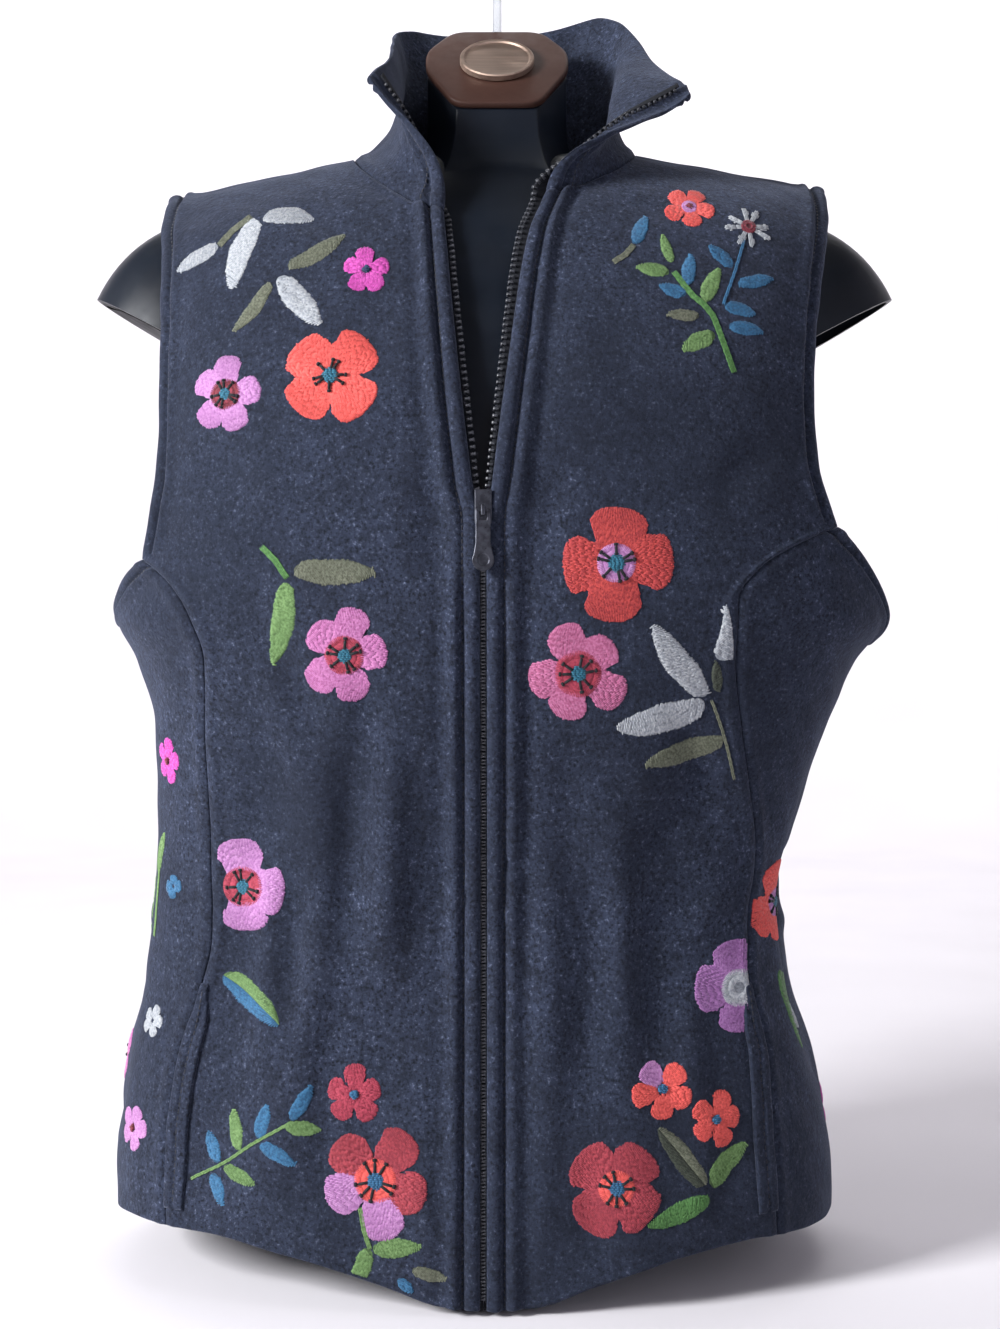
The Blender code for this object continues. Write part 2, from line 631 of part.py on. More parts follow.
def grid_normals(points, outward):
    """Normals of a grid of points, turned so that the first column's point the way given."""
    normal = np.cross(np.gradient(points, axis=1), np.gradient(points, axis=0))
    normal /= np.linalg.norm(normal, axis=-1, keepdims=True)
    return normal if (normal * outward).sum() > 0 else -normal


def neckline():
    """The neck edge of all panels, from the right front's corner round the back to the left front's."""
    right, left = fronts[RIGHT]["outer"][-1], fronts[LEFT]["outer"][-1]
    behind = back["outer"][-1, SHOULDER_COLUMNS : SHOULDER_COLUMNS + BACK_NECK_COLUMNS + 1][::-1]
    right_seam = (right[NECK_COLUMNS] + behind[0]) / 2
    left_seam = (left[NECK_COLUMNS] + behind[-1]) / 2
    return np.concatenate(
        [right[:NECK_COLUMNS], right_seam[None], behind[1:-1], left_seam[None], left[:NECK_COLUMNS][::-1]]
    )


def collar_grid():
    """Each column rises from the neckline through the roll and the middle to the collar's upper edge."""
    edge = neckline()
    lengths = np.concatenate([[0], np.cumsum(np.linalg.norm(np.diff(edge, axis=0), axis=1))])
    along = lengths / lengths[-1]
    to_axis = -edge * [1, 1, 0]
    to_axis /= np.linalg.norm(to_axis, axis=1, keepdims=True)
    foot = edge + (to_axis * 0.5 + np.array([0, 0, 1.0])) * SEAM_GAP * 1.5
    roll, middle, top = (
        np.stack([read(table, COLLAR_COLUMNS, "along", axis, along) for axis in "xyz"], axis=-1)
        for table in (COLLAR_ROLL, COLLAR_MIDDLE, COLLAR_TOP)
    )
    v = np.linspace(0, 1, COLLAR_ROWS + 1)[:, None, None] * 3
    return (
        (1 - v) * (2 - v) * (3 - v) / 6 * foot
        + v * (2 - v) * (3 - v) / 2 * roll
        + v * (v - 1) * (3 - v) / 2 * middle
        + v * (v - 1) * (v - 2) / 6 * top
    )


collar_outer = collar_grid()
from_axis = collar_outer * [1, 1, 0]
collar_normal = grid_normals(collar_outer, from_axis)
collar_inner = collar_outer - collar_normal * WALL
add_part("collar", wall_mesh("collar", collar_outer, collar_inner), BLACK_WOOL)


# ---------------------------------------------------------------- pocket lips, on the fronts' outer points


def pocket_lip(side):
    """The stitched lip of a pocket that opens in the front seam: it lies on the front beside the seam."""
    front = fronts[side]
    heights = np.linspace(POCKET_BOTTOM, POCKET_TOP, POCKET_ROWS + 1)

    def at_heights(points):
        seam_heights = front["outer"][: ROWS_BELOW_ARMHOLE + 1, -1, 2]
        return np.stack([np.interp(heights, seam_heights, points[: len(seam_heights), i]) for i in range(3)], -1)

    seam, inside = at_heights(front["outer"][:, -1]), at_heights(front["outer"][:, -2])
    inward = inside - seam
    reach = np.linalg.norm(inward, axis=-1, keepdims=True)
    shares = np.array([0.0, 0.45, 1.0]) * POCKET_LIP_WIDTH
    base = np.stack([seam + inward / reach * share for share in shares], axis=1)
    normal = np.repeat(at_heights(front["normal"][:, -1])[:, None], len(shares), axis=1)
    height = POCKET_LIP_THICKNESS * np.array([1.0, 1.15, 0.7])[None, :, None]
    lower = base + normal * SEAM_GAP * 1.3
    add_part(f"pocket_{SIDE_NAMES[side]}", wall_mesh("pocket", lower + normal * height, lower), BLACK_WOOL)


for side in SIDE_NAMES:
    pocket_lip(side)


# ---------------------------------------------------------------- zip tapes with their rows of teeth


def zip_tape(side):
    """A tape behind a front's folded edge and the collar's end. Its last two columns are the row of teeth."""
    front = fronts[side]
    end, before = (0, 1) if side == RIGHT else (-1, -2)

    def along(on_front, on_collar):
        seam = (on_front[-1] + on_collar[0]) / 2
        return np.concatenate([on_front[:-1], seam[None], on_collar[1:]])

    def unit(vectors):
        return vectors / np.linalg.norm(vectors, axis=1, keepdims=True)

    edge_normal = unit(along(front["normal"][:, 0], collar_normal[:, end]))
    hidden_normal = unit(along(front["normal"][:, 1], collar_normal[:, before]))
    clearance = np.full((len(edge_normal), 1), SEAM_GAP * 1.3)
    clearance[-COLLAR_ROWS - 3 :] = TAPE_CLEARANCE_AT_NECK
    edge = along(front["inner"][:, 0], collar_inner[:, end])
    hidden = along(front["inner"][:, 1], collar_inner[:, before])
    across = unit(edge - hidden)
    shown = read(OPENING[side], OPENING_COLUMNS, "height", "tape", edge[:, 2])[:, None]
    face = edge - edge_normal * clearance
    columns = [
        hidden - hidden_normal * clearance,
        face,
        face + across * (shown - TEETH_WIDTH - 0.0002),
        face + across * (shown - TEETH_WIDTH),
        face + across * shown,
    ]
    base = np.stack(columns, axis=1)
    spread = np.stack([hidden_normal] + [edge_normal] * 4, axis=1)
    rise = np.array([0, 0, 0, TEETH_RISE, TEETH_RISE])[None, :, None]
    mesh = wall_mesh("tape", base + spread * rise, base - spread * TAPE_THICKNESS)
    add_part(f"zip_tape_{SIDE_NAMES[side]}", mesh, BLACK_TAPE, 30.0)


for side in SIDE_NAMES:
    zip_tape(side)


# ---------------------------------------------------------------- slider and pull tab


def box(name, size, centre, finish, bevel=0.0, holder=parts):
    """A box of a given size and centre, its edges rounded."""
    bpy.ops.mesh.primitive_cube_add(size=1.0, location=centre)
    made = bpy.context.object
    made.name = made.data.name = name
    made.data.transform(Matrix.Diagonal((*size, 1.0)))
    if bevel:
        rounding = made.modifiers.new("rounded edges", "BEVEL")
        rounding.width, rounding.segments = bevel, 2
    made.data.materials.append(material(finish))
    for collection in list(made.users_collection):
        collection.objects.unlink(made)
    holder.objects.link(made)
    return made


def cutter(made):
    made.hide_render = True
    made.display_type = "WIRE"
    return made


def combine(target, tool, operation):
    change = target.modifiers.new(operation.lower(), "BOOLEAN")
    change.operation, change.object = operation, cutter(tool)


def front_y(height):
    """Where the cloth's outer face is, beside the zip."""
    spot = place(ZIP_X - ZIP_GAP / 2, height)
    return float(cloth_point(spot[0], spot[1])[1])


SLIDER_WIDTH, SLIDER_LENGTH = 0.0090, 0.0180
PLATE_THICKNESS = 0.0011
CROWN_WIDTH, CROWN_LENGTH, CROWN_HEIGHT = 0.0024, 0.0058, 0.0042
TUNNEL_LENGTH, TUNNEL_HEIGHT = 0.0034, 0.0031
WEDGE_RADIUS = 0.0013
PULL_THICKNESS = 0.0014
PULL_WIDTH, PULL_END_RADIUS, PULL_LENGTH = 0.0080, 0.0058, 0.0320
PULL_WINDOW_WIDTH, PULL_WINDOW_REACH = 0.0040, 0.0052

slider_y = front_y(SLIDER_Z)
plate_y = slider_y - EDGE_RISE - 0.0004 - PLATE_THICKNESS / 2
back_plate_y = slider_y + WALL + TAPE_THICKNESS + 0.0017 + PLATE_THICKNESS / 2
crown_z = SLIDER_Z - 0.0022
pull_axis = Vector((ZIP_X, plate_y - PLATE_THICKNESS / 2 - TUNNEL_HEIGHT / 2, crown_z))

slider = box("zip_slider", (SLIDER_WIDTH, PLATE_THICKNESS, SLIDER_LENGTH), (ZIP_X, plate_y, SLIDER_Z), GUNMETAL, 0.0004)
back_plate = box(
    "slider_back", (SLIDER_WIDTH, PLATE_THICKNESS, SLIDER_LENGTH * 0.9), (ZIP_X, back_plate_y, SLIDER_Z + 0.0008),
    GUNMETAL, 0.0003, cutters,
)  # fmt: skip
wedge = box(
    "slider_wedge",
    (WEDGE_RADIUS * 2, back_plate_y - plate_y, WEDGE_RADIUS * 2.2),
    (ZIP_X, (plate_y + back_plate_y) / 2, SLIDER_Z + SLIDER_LENGTH / 2 - WEDGE_RADIUS * 1.4),
    GUNMETAL, 0.0, cutters,
)  # fmt: skip
crown = box(
    "slider_crown",
    (CROWN_WIDTH, CROWN_HEIGHT + PLATE_THICKNESS, CROWN_LENGTH),
    (ZIP_X, plate_y - CROWN_HEIGHT / 2, crown_z),
    GUNMETAL, 0.0006, cutters,
)  # fmt: skip
tunnel = box(
    "crown_tunnel",
    (CROWN_WIDTH * 2, TUNNEL_HEIGHT, TUNNEL_LENGTH),
    pull_axis,
    GUNMETAL, 0.0, cutters,
)  # fmt: skip
combine(crown, tunnel, "DIFFERENCE")
for piece in (back_plate, wedge, crown):
    combine(slider, piece, "UNION")


def pull_outline():
    """The tab seen from the front, from its hinge at z = 0 down to its round end."""
    neck, top = -PULL_LENGTH + 2.6 * PULL_END_RADIUS, PULL_THICKNESS / 2
    centre = -PULL_LENGTH + PULL_END_RADIUS
    arc = [math.radians(a) for a in np.linspace(30, -210, 17)]
    half = PULL_WIDTH / 2
    points = [(-half, neck), (-half, top), (half, top), (half, neck)]
    return points + [(PULL_END_RADIUS * math.cos(a), centre + PULL_END_RADIUS * math.sin(a)) for a in arc]


def flat_curve(name, outlines, thickness):
    """A flat outline, with its holes, as a plate of a given thickness, facing the front."""
    curve = bpy.data.curves.new(name, "CURVE")
    curve.dimensions, curve.fill_mode, curve.extrude = "2D", "BOTH", thickness / 2
    for outline in outlines:
        spline = curve.splines.new("POLY")
        spline.points.add(len(outline) - 1)
        spline.use_cyclic_u = True
        for point, (across, up) in zip(spline.points, outline):
            point.co = (across, up, 0.0, 1.0)
    made = bpy.data.objects.new(name, curve)
    parts.objects.link(made)
    return made


window_top = -PULL_THICKNESS / 2
window = [
    (-PULL_WINDOW_WIDTH / 2, window_top),
    (PULL_WINDOW_WIDTH / 2, window_top),
    (PULL_WINDOW_WIDTH / 2, -PULL_WINDOW_REACH),
    (-PULL_WINDOW_WIDTH / 2, -PULL_WINDOW_REACH),
]
tab = flat_curve("zip_pull", [pull_outline(), window], PULL_THICKNESS)
tab.location = pull_axis
tab.rotation_euler = (math.radians(90), 0, 0)
tab.data.materials.append(material(GUNMETAL))


# ---------------------------------------------------------------- torso display form

# The form follows the body's rings, drawn in: its half width, and how far it stays inside the cloth's outer face.
FORM_COLUMNS = ("half width", "ease")
FORM = (
    (0.194, 0.042), (0.195, 0.038), (0.186, 0.032), (0.174, 0.026), (0.169, 0.022), (0.176, 0.019),
    (0.185, 0.017), (0.191, 0.015), (0.193, 0.014), (0.192, 0.013), (0.189, 0.011), (0.186, 0.0090),
    (0.186, 0.0075), (0.187, 0.0066), (0.188, 0.0060), (0.189, 0.0046), (0.190, 0.0030),
)  # fmt: skip
FORM_LEVELS = np.concatenate([[1.6], np.linspace(2, 13, 12), [13.3, 14.0, 14.65, 15.3, TOP_LEVEL]])
# Below the hips the form rounds under to its flat base: height, and shares of the lowest ring's width and depth.
FORM_FOOT = ((0.000, 0.46, 0.62), (0.006, 0.52, 0.68), (0.018, 0.63, 0.77), (0.036, 0.77, 0.87), (0.058, 0.91, 0.96))
FORM_ANGLES = 36

STUB_CENTRE = Vector((0.165, 0.0, 0.530))
STUB_REACH = Vector((0.0835, 0.048, 0.089))  # half sizes of the shoulder cap's ellipsoid
STUB_WALL = 0.0035
STUB_HOLLOW_X = 0.1600  # how far in the stub's hollow goes
RIM_TIP = Vector((0.2400, 0.0, 0.5690))  # outermost point of an arm stub's open rim
RIM_SLOPE = math.radians(29)

NECK_OUTLINE = (
    (0.0235, -0.0385), (0.0415, -0.0145), (0.0415, 0.0005), (0.0270, 0.0165), (0.0110, 0.0285),
)  # fmt: skip
NECK_FLARE = ((0.600, 1.80), (0.628, 1.38), (0.644, 1.15), (0.658, 1.03), (0.672, 1.0), (0.800, 1.0))  # height, growth
NECK_X, NECK_TOP = 0.0015, 0.7385
PLATE_OUTLINE = ((0.0270, 0.0428), (0.0428, 0.0180), (0.0428, -0.0040), (0.0250, -0.0428))
PLATE_CENTRE = Vector((NECK_X, -0.0115, 0.7061))
PLATE_SLOPE = math.radians(47)
NECK_PLATE_THICKNESS = 0.0045
DISC_RADIUS, DISC_THICKNESS, DISC_UP = 0.0222, 0.0040, 0.0023
HOOK_BEND, HOOK_STEM, HOOK_RADIUS = 0.0190, 0.0300, 0.0028
HOOK_FOOT = (NECK_X, 0.0255, NECK_TOP + SEAM_GAP)


def form_ring(level, angles):
    """One ring of the torso: the body's ring, drawn in square to the body's side line."""
    def rate(column):
        low, high = max(level - 0.05, 0.0), min(level + 0.05, TOP_LEVEL)
        return float(ring_value(column, high) - ring_value(column, low))

    keys = np.arange(len(FORM))
    half_width = float(smooth_track(keys, [row[0] for row in FORM], level))
    ease = float(smooth_track(keys, [row[1] for row in FORM], level))
    across, forward = superellipse(angles, float(ring_value("square", level)))
    points = []
    for column, sign in (("front", 1), ("back", -1)):
        slope = math.hypot(rate(column), rate("height"))
        outwards, upwards = rate("height") / slope, -rate(column) / slope
        depth = max(float(ring_value(column, level)) - ease * outwards, 0.0)
        x = across * (half_width - ease * outwards)
        fall = ring_value("slope", level) * shoulder_fall(np.abs(x) * np.sign(across))
        z = ring_value("height", level) - fall - ease * upwards
        points.append(np.stack([x, -forward * depth, z], axis=-1))
    ring = np.where((forward > 0)[:, None], points[0], points[1])
    return ring


def ring_mesh(name, rings):
    """A closed solid through rings of equally many points, its two ends filled."""
    count = len(rings[0])
    tool = bmesh.new()
    lines = [[tool.verts.new(point) for point in ring] for ring in rings]
    for low, high in zip(lines, lines[1:]):
        for i in range(count):
            j = (i + 1) % count
            tool.faces.new((low[i], low[j], high[j]))
            tool.faces.new((low[i], high[j], high[i]))
    tool.faces.new(lines[0])
    tool.faces.new(lines[-1])
    bmesh.ops.remove_doubles(tool, verts=tool.verts, dist=1e-5)
    bmesh.ops.recalc_face_normals(tool, faces=tool.faces)
    mesh = bpy.data.meshes.new(name)
    tool.to_mesh(mesh)
    tool.free()
    return mesh


form_angles = np.radians(np.arange(FORM_ANGLES) * 360 / FORM_ANGLES)
form_rings = [form_ring(level, form_angles) for level in FORM_LEVELS]
foot_rings = [form_rings[0] * [wide, deep, 0] + [0, 0, height] for height, wide, deep in FORM_FOOT]
torso = add_part("torso_form", ring_mesh("torso_form", foot_rings + form_rings), GLOSSY_PLASTIC)


def shoulder_cap(side, reach, name, holder, inner_x=None):
    """The short open stub of an arm: an ellipsoid cut off by its sloping rim, and by inner_x if given."""
    tool = bmesh.new()
    bmesh.ops.create_uvsphere(tool, u_segments=28, v_segments=16, radius=1.0)
    place_it = Matrix.Translation(STUB_CENTRE) @ Matrix.Diagonal((*reach, 1.0))
    bmesh.ops.transform(tool, matrix=place_it, verts=tool.verts)
    below = Vector((math.sin(RIM_SLOPE), 0.0, -math.cos(RIM_SLOPE)))
    cuts = [(RIM_TIP, below)] + ([] if inner_x is None else [(Vector((inner_x, 0.0, 0.0)), Vector((-1.0, 0.0, 0.0)))])
    for point, towards in cuts:
        everything = tool.verts[:] + tool.edges[:] + tool.faces[:]
        bmesh.ops.bisect_plane(tool, geom=everything, plane_co=point, plane_no=towards, clear_outer=True)
        bmesh.ops.holes_fill(tool, edges=[edge for edge in tool.edges if edge.is_boundary])
    if side == RIGHT:
        bmesh.ops.transform(tool, matrix=Matrix.Diagonal((-1.0, 1.0, 1.0, 1.0)), verts=tool.verts)
    bmesh.ops.recalc_face_normals(tool, faces=tool.faces)
    mesh = bpy.data.meshes.new(name)
    tool.to_mesh(mesh)
    tool.free()
    made = bpy.data.objects.new(name, mesh)
    holder.objects.link(made)
    return made


def both_halves(outline):
    """A mirror-symmetric outline, all the way round, from its right half."""
    return list(outline) + [(-across, along) for across, along in reversed(outline)]


def neck_ring(height, growth):
    outline = np.array(both_halves(NECK_OUTLINE)) * growth
    return np.stack([outline[:, 0] + NECK_X, outline[:, 1], np.full(len(outline), height)], axis=-1)


def plate_frame():
    """The sloping top of the neck: its middle, its x axis, the way up along it, and the way out of it."""
    out = Vector((0.0, -math.sin(PLATE_SLOPE), math.cos(PLATE_SLOPE)))
    up = Vector((0.0, math.cos(PLATE_SLOPE), math.sin(PLATE_SLOPE)))
    return Matrix(((1, up.x, out.x), (0, up.y, out.y), (0, up.z, out.z))).to_4x4()


neck_rings = [neck_ring(*row) for row in NECK_FLARE]
neck = bpy.data.objects.new("neck_block", ring_mesh("neck_block", neck_rings))
cutters.objects.link(neck)
slope_cut = box("neck_slope", (0.3, 0.3, 0.15), (0, 0, 0), GLOSSY_PLASTIC, 0.0, cutters)
plate_out = plate_frame().to_3x3() @ Vector((0, 0, 1))
slope_middle = PLATE_CENTRE - plate_out * (NECK_PLATE_THICKNESS / 2 + SEAM_GAP)
slope_cut.matrix_world = Matrix.Translation(slope_middle + plate_out * 0.075) @ plate_frame()
top_cut = box("neck_top", (0.3, 0.3, 0.1), (0, 0, NECK_TOP + 0.05), GLOSSY_PLASTIC, 0.0, cutters)
for tool in (slope_cut, top_cut):
    combine(neck, tool, "DIFFERENCE")
combine(torso, neck, "UNION")
inner_reach = STUB_REACH - Vector((STUB_WALL,) * 3)
for side, side_name in SIDE_NAMES.items():
    combine(torso, shoulder_cap(side, STUB_REACH, f"stub_{side_name}", cutters), "UNION")
for side, side_name in SIDE_NAMES.items():
    combine(torso, shoulder_cap(side, inner_reach, f"stub_hollow_{side_name}", cutters, STUB_HOLLOW_X), "DIFFERENCE")


def sloping_plate(name, outline, thickness, centre, finish, bevel):
    """A flat plate of a given outline that lies square to the neck's slope."""
    tool = bmesh.new()
    faces = [[tool.verts.new((*spot, height)) for spot in outline] for height in (-thickness / 2, thickness / 2)]
    tool.faces.new(reversed(faces[0]))
    tool.faces.new(faces[1])
    for i in range(len(outline)):
        tool.faces.new((faces[0][i - 1], faces[0][i], faces[1][i], faces[1][i - 1]))
    bmesh.ops.recalc_face_normals(tool, faces=tool.faces)
    mesh = bpy.data.meshes.new(name)
    tool.to_mesh(mesh)
    tool.free()
    made = add_part(name, mesh, finish)
    rounding = made.modifiers.new("rounded edges", "BEVEL")
    rounding.width, rounding.segments = bevel, 2
    made.matrix_world = Matrix.Translation(centre) @ plate_frame()
    return made


sloping_plate("neck_plate", both_halves(PLATE_OUTLINE), NECK_PLATE_THICKNESS, PLATE_CENTRE, BROWN_PLASTIC, 0.0012)
disc_lift = NECK_PLATE_THICKNESS / 2 + SEAM_GAP + DISC_THICKNESS / 2
disc_centre = PLATE_CENTRE + plate_frame().to_3x3() @ Vector((0.0, DISC_UP, disc_lift))
turns = [math.radians(step * 9) for step in range(40)]
disc_outline = [(DISC_RADIUS * math.cos(turn), DISC_RADIUS * math.sin(turn)) for turn in turns]
sloping_plate("neck_disc", disc_outline, DISC_THICKNESS, disc_centre, SILVER, 0.0010)


def hook_route():
    """From the collar at the neck's top straight up, then round the open bend."""
    x, y, foot = HOOK_FOOT
    bend_z = foot + HOOK_STEM + HOOK_BEND
    arc = [math.radians(a) for a in np.linspace(-90, 160, 18)]
    bend = [(x + HOOK_BEND * math.cos(a), y, bend_z + HOOK_BEND * math.sin(a)) for a in arc]
    return [(x, y, foot), (x, y, foot + HOOK_STEM * 0.6)] + bend


route = hook_route()
wire = bpy.data.curves.new("hanging_hook", "CURVE")
wire.dimensions, wire.bevel_depth, wire.bevel_resolution, wire.use_fill_caps = "3D", HOOK_RADIUS, 2, True
spline = wire.splines.new("POLY")
spline.points.add(len(route) - 1)
for point, spot in zip(spline.points, route):
    point.co = (*spot, 1.0)
hook = bpy.data.objects.new("hanging_hook", wire)
hook.data.materials.append(material(CLEAR_PLASTIC))
parts.objects.link(hook)


# ---------------------------------------------------------------- the middle of the part on the origin

bpy.context.view_layer.update()
depsgraph = bpy.context.evaluated_depsgraph_get()
pieces = [piece for piece in parts.objects if not piece.hide_render]
reach_y = []
for piece in pieces:
    solid = piece.evaluated_get(depsgraph).to_mesh()
    reach_y += [(piece.matrix_world @ vertex.co).y for vertex in solid.vertices]
    piece.evaluated_get(depsgraph).to_mesh_clear()
shift = Matrix.Translation((0.0, -(min(reach_y) + max(reach_y)) / 2, 0.0))
for piece in list(parts.objects) + list(cutters.objects):
    piece.matrix_world = shift @ piece.matrix_world
print(f"moved by {shift.translation.y * 1000:.3f} mm; the tab turns about {tuple(shift @ pull_axis)}")
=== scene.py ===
# %% [markdown]
# # An embroidered folk vest on a torso form
#
# A sleeveless vest of felted wool, embroidered with flowers, zipped up on a display form. The solids give the
# frame: every size and place below is in metres in it. This notebook lays finer cloth over the same forms, sews
# it, embroiders it and lights it.

# %% Load the frame
from math import cos, hypot, pi, radians, sin, sqrt

import bmesh
import bpy
import numpy as np
from mathutils import Matrix, Vector
from mathutils.bvhtree import BVHTree
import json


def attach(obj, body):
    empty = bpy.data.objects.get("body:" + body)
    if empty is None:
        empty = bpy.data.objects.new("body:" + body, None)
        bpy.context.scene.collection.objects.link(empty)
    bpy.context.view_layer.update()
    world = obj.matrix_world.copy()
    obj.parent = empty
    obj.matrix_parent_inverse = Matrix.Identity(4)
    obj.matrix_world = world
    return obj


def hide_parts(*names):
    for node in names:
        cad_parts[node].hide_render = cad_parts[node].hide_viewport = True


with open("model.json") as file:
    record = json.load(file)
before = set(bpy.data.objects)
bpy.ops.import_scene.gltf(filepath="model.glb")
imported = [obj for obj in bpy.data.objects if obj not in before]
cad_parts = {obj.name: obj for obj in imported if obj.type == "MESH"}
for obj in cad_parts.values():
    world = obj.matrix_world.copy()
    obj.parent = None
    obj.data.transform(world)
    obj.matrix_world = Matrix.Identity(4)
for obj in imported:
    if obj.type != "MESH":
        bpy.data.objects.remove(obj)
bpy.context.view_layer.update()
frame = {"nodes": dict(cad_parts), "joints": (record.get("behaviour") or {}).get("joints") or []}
print("nodes:", ", ".join(sorted(frame["nodes"])))

# %% [markdown]
# ## The garment's sizes
#
# These are the sizes that the solids were worked out from: a stack of rings for the body, then the seams and edges
# that cut it into panels. The wearer's left is at +X, and the front faces -Y.

# %% Sizes of the body and its edges
LEFT, RIGHT = 1, -1
SIDE_NAMES = {LEFT: "left", RIGHT: "right"}
WALL = 0.0022
SEAM_GAP = 0.0003
SEWN_GAP = 0.0001  # what is left between two sewn edges
ZIP_X = -0.0056
ZIP_GAP = 0.0034
SLIDER_Z = 0.4326
BUST_HEIGHT = 0.45
NECK_HALF_WIDTH = 0.085
SHOULDER_SLOPE = {LEFT: 0.18, RIGHT: 0.216}
SHOULDER_ROUNDING = 0.02

RING_COLUMNS = ("height", "left", "right", "front", "back", "square", "slope")
RINGS = (
    (0, .2, .222, .125, .114, 2.5, 0),
    (.05, .201, .225, .121, .113, 2.5, 0),
    (.11, .191, .221, .113, .107, 2.5, 0),
    (.165, .178, .211, .106, .097, 2.5, 0),
    (.21, .173, .206, .103, .089, 2.5, 0),
    (.265, .185, .202, .109, .09, 2.5, 0),
    (.315, .2, .203, .119, .096, 2.5, 0),
    (.35, .214, .212, .126, .101, 2.5, 0),
    (.38, .234, .225, .13, .106, 2.5, 0),
    (.43, .222, .219, .133, .11, 2.6, 0),
    (.48, .202, .207, .129, .114, 2.8, 0),
    (.53, .197, .203, .116, .114, 3.2, .08),
    (.575, .2, .202, .099, .104, 3.5, .3),
    (.61, .203, .202, .081, .087, 3.5, .55),
    (.638, .204, .202, .057, .061, 3.5, .8),
    (.658, .204, .201, .03, .032, 3.5, .95),
    (.6685, .204, .201, 0, 0, 3.5, 1),
)
TOP_LEVEL = float(len(RINGS) - 1)

# The hem: the angle from the front, and its height on the left and on the right.
HEM = (
    (0, .003, .003), (7, .005, .005), (15, .0145, .015), (28, .0275, .0285), (42, .033, .0365),
    (58, .031, .036), (90, .029, .027), (130, .017, .016), (180, .012, .012),
)
# The seams and armholes: height, and distance from the middle.
FRONT_SEAM = {
    RIGHT: (
        (.02, .18), (.045, .184), (.085, .183), (.13, .177), (.165, .166), (.2, .159),
        (.265, .16), (.315, .1615), (.351, .16), (.376, .168), (.395, .181), (.408, .1975),
    ),
    LEFT: (
        (.02, .157), (.045, .157), (.085, .155), (.13, .153), (.175, .1435), (.206, .144),
        (.24, .148), (.282, .1427), (.311, .137), (.3515, .132), (.384, .132), (.402, .145),
        (.416, .169), (.4256, .191),
    ),
}
FRONT_ARMHOLE = {
    RIGHT: ((.408, .1975), (.45, .19), (.5, .188), (.57, .19), (.61, .195), (.64, .197)),
    LEFT: ((.4256, .19), (.46, .181), (.5, .179), (.53, .181), (.57, .187), (.61, .196),
           (.64, .2)),
}
BACK_ARMHOLE = {
    RIGHT: ((.44, .193), (.48, .184), (.53, .183), (.58, .188), (.61, .193), (.64, .197)),
    LEFT: ((.44, .19), (.48, .181), (.53, .181), (.58, .187), (.61, .194), (.64, .2)),
}
BACK_SEAM_ANGLE = {RIGHT: 131.0, LEFT: 129.0}
UNDERARM_HEIGHT = {RIGHT: 0.38, LEFT: 0.366}
# The zip's edges: height, x, and how far the tape shows past the cloth.
OPENING = {
    RIGHT: (
        (.424, ZIP_X - ZIP_GAP / 2, .00155), (.43, -.0076, .0016), (.4448, -.0112, .0022),
        (.4683, -.0142, .0028), (.52, -.02, .003), (.602, -.028, .003),
    ),
    LEFT: (
        (.424, ZIP_X + ZIP_GAP / 2, .00155), (.43, -.0036, .0016), (.4448, -.0012, .0022),
        (.4683, .0018, .0027), (.52, .0085, .004), (.588, .019, .006), (.615, .029, .007),
    ),
}
# The neckline in front: height, and distance from the middle.
FRONT_NECKLINE = {
    RIGHT: ((.602, .028), (.6075, .042), (.617, .057), (.63, .0715), (.643, .081), (.655, .085)),
    LEFT: ((.615, .029), (.619, .043), (.626, .058), (.635, .0715), (.645, .0808), (.655, .085)),
}
BACK_NECK_HEIGHT = 0.656

# The collar by three lines, from the right front corner (0) round the back to the left one (1).
COLLAR_ROLL = (
    (0, -.0335, -.0815, .633), (.12, -.054, -.062, .643), (.2, -.061, -.034, .656),
    (.29, -.0655, .002, .6705), (.37, -.054, .016, .685), (.51, 0, .042, .688),
    (.66, .058, .024, .689), (.735, .074, .004, .68), (.84, .069, -.038, .667),
    (.93, .062, -.067, .646), (1, .05, -.082, .6385),
)
COLLAR_MIDDLE = (
    (0, -.052, -.0795, .656), (.12, -.056, -.056, .669), (.2, -.057, -.03, .683),
    (.29, -.0575, .006, .696), (.37, -.056, .024, .714), (.51, 0, .053, .72),
    (.66, .06, .036, .724), (.735, .076, .012, .711), (.84, .075, -.03, .691),
    (.93, .083, -.06, .667), (1, .085, -.073, .655),
)
COLLAR_TOP = (
    (0, -.0714, -.075, .6794), (.06, -.0692, -.062, .6875), (.14, -.0638, -.043, .6989),
    (.22, -.062, -.02, .713), (.29, -.0628, .004, .727), (.36, -.0625, .03, .742),
    (.42, -.05, .052, .7505), (.51, 0, .066, .751), (.6, .036, .062, .7545),
    (.66, .064, .049, .758), (.7, .077, .037, .752), (.76, .0879, .01, .7304),
    (.83, .095, -.014, .7075), (.89, .1035, -.035, .6924), (.95, .111, -.052, .6815),
    (1, .1125, -.06, .6745),
)

# The largest soft folds: low angle, low height, high angle, high height, width in degrees, depth.
FOLDS = (
    (-43, .05, -33, .4, 6, -.004), (-30, .06, -24, .38, 5, .003),
    (-18, .02, -15, .23, 4.5, -.0025), (22, .01, 20, .3, 5.5, .003),
    (36, .06, 30, .39, 6, -.0035), (80, .12, 72, .33, 9, -.008),
    (103, .06, 112, .34, 9, .005), (-78, .09, -84, .33, 8, -.0045),
    (-104, .04, -110, .34, 9, .0045), (150, .01, 158, .4, 7, -.005),
    (170, .01, 174, .33, 6, .0035), (-166, .01, -162, .38, 6.5, -.0045),
    (-146, .01, -150, .3, 7, .004),
)

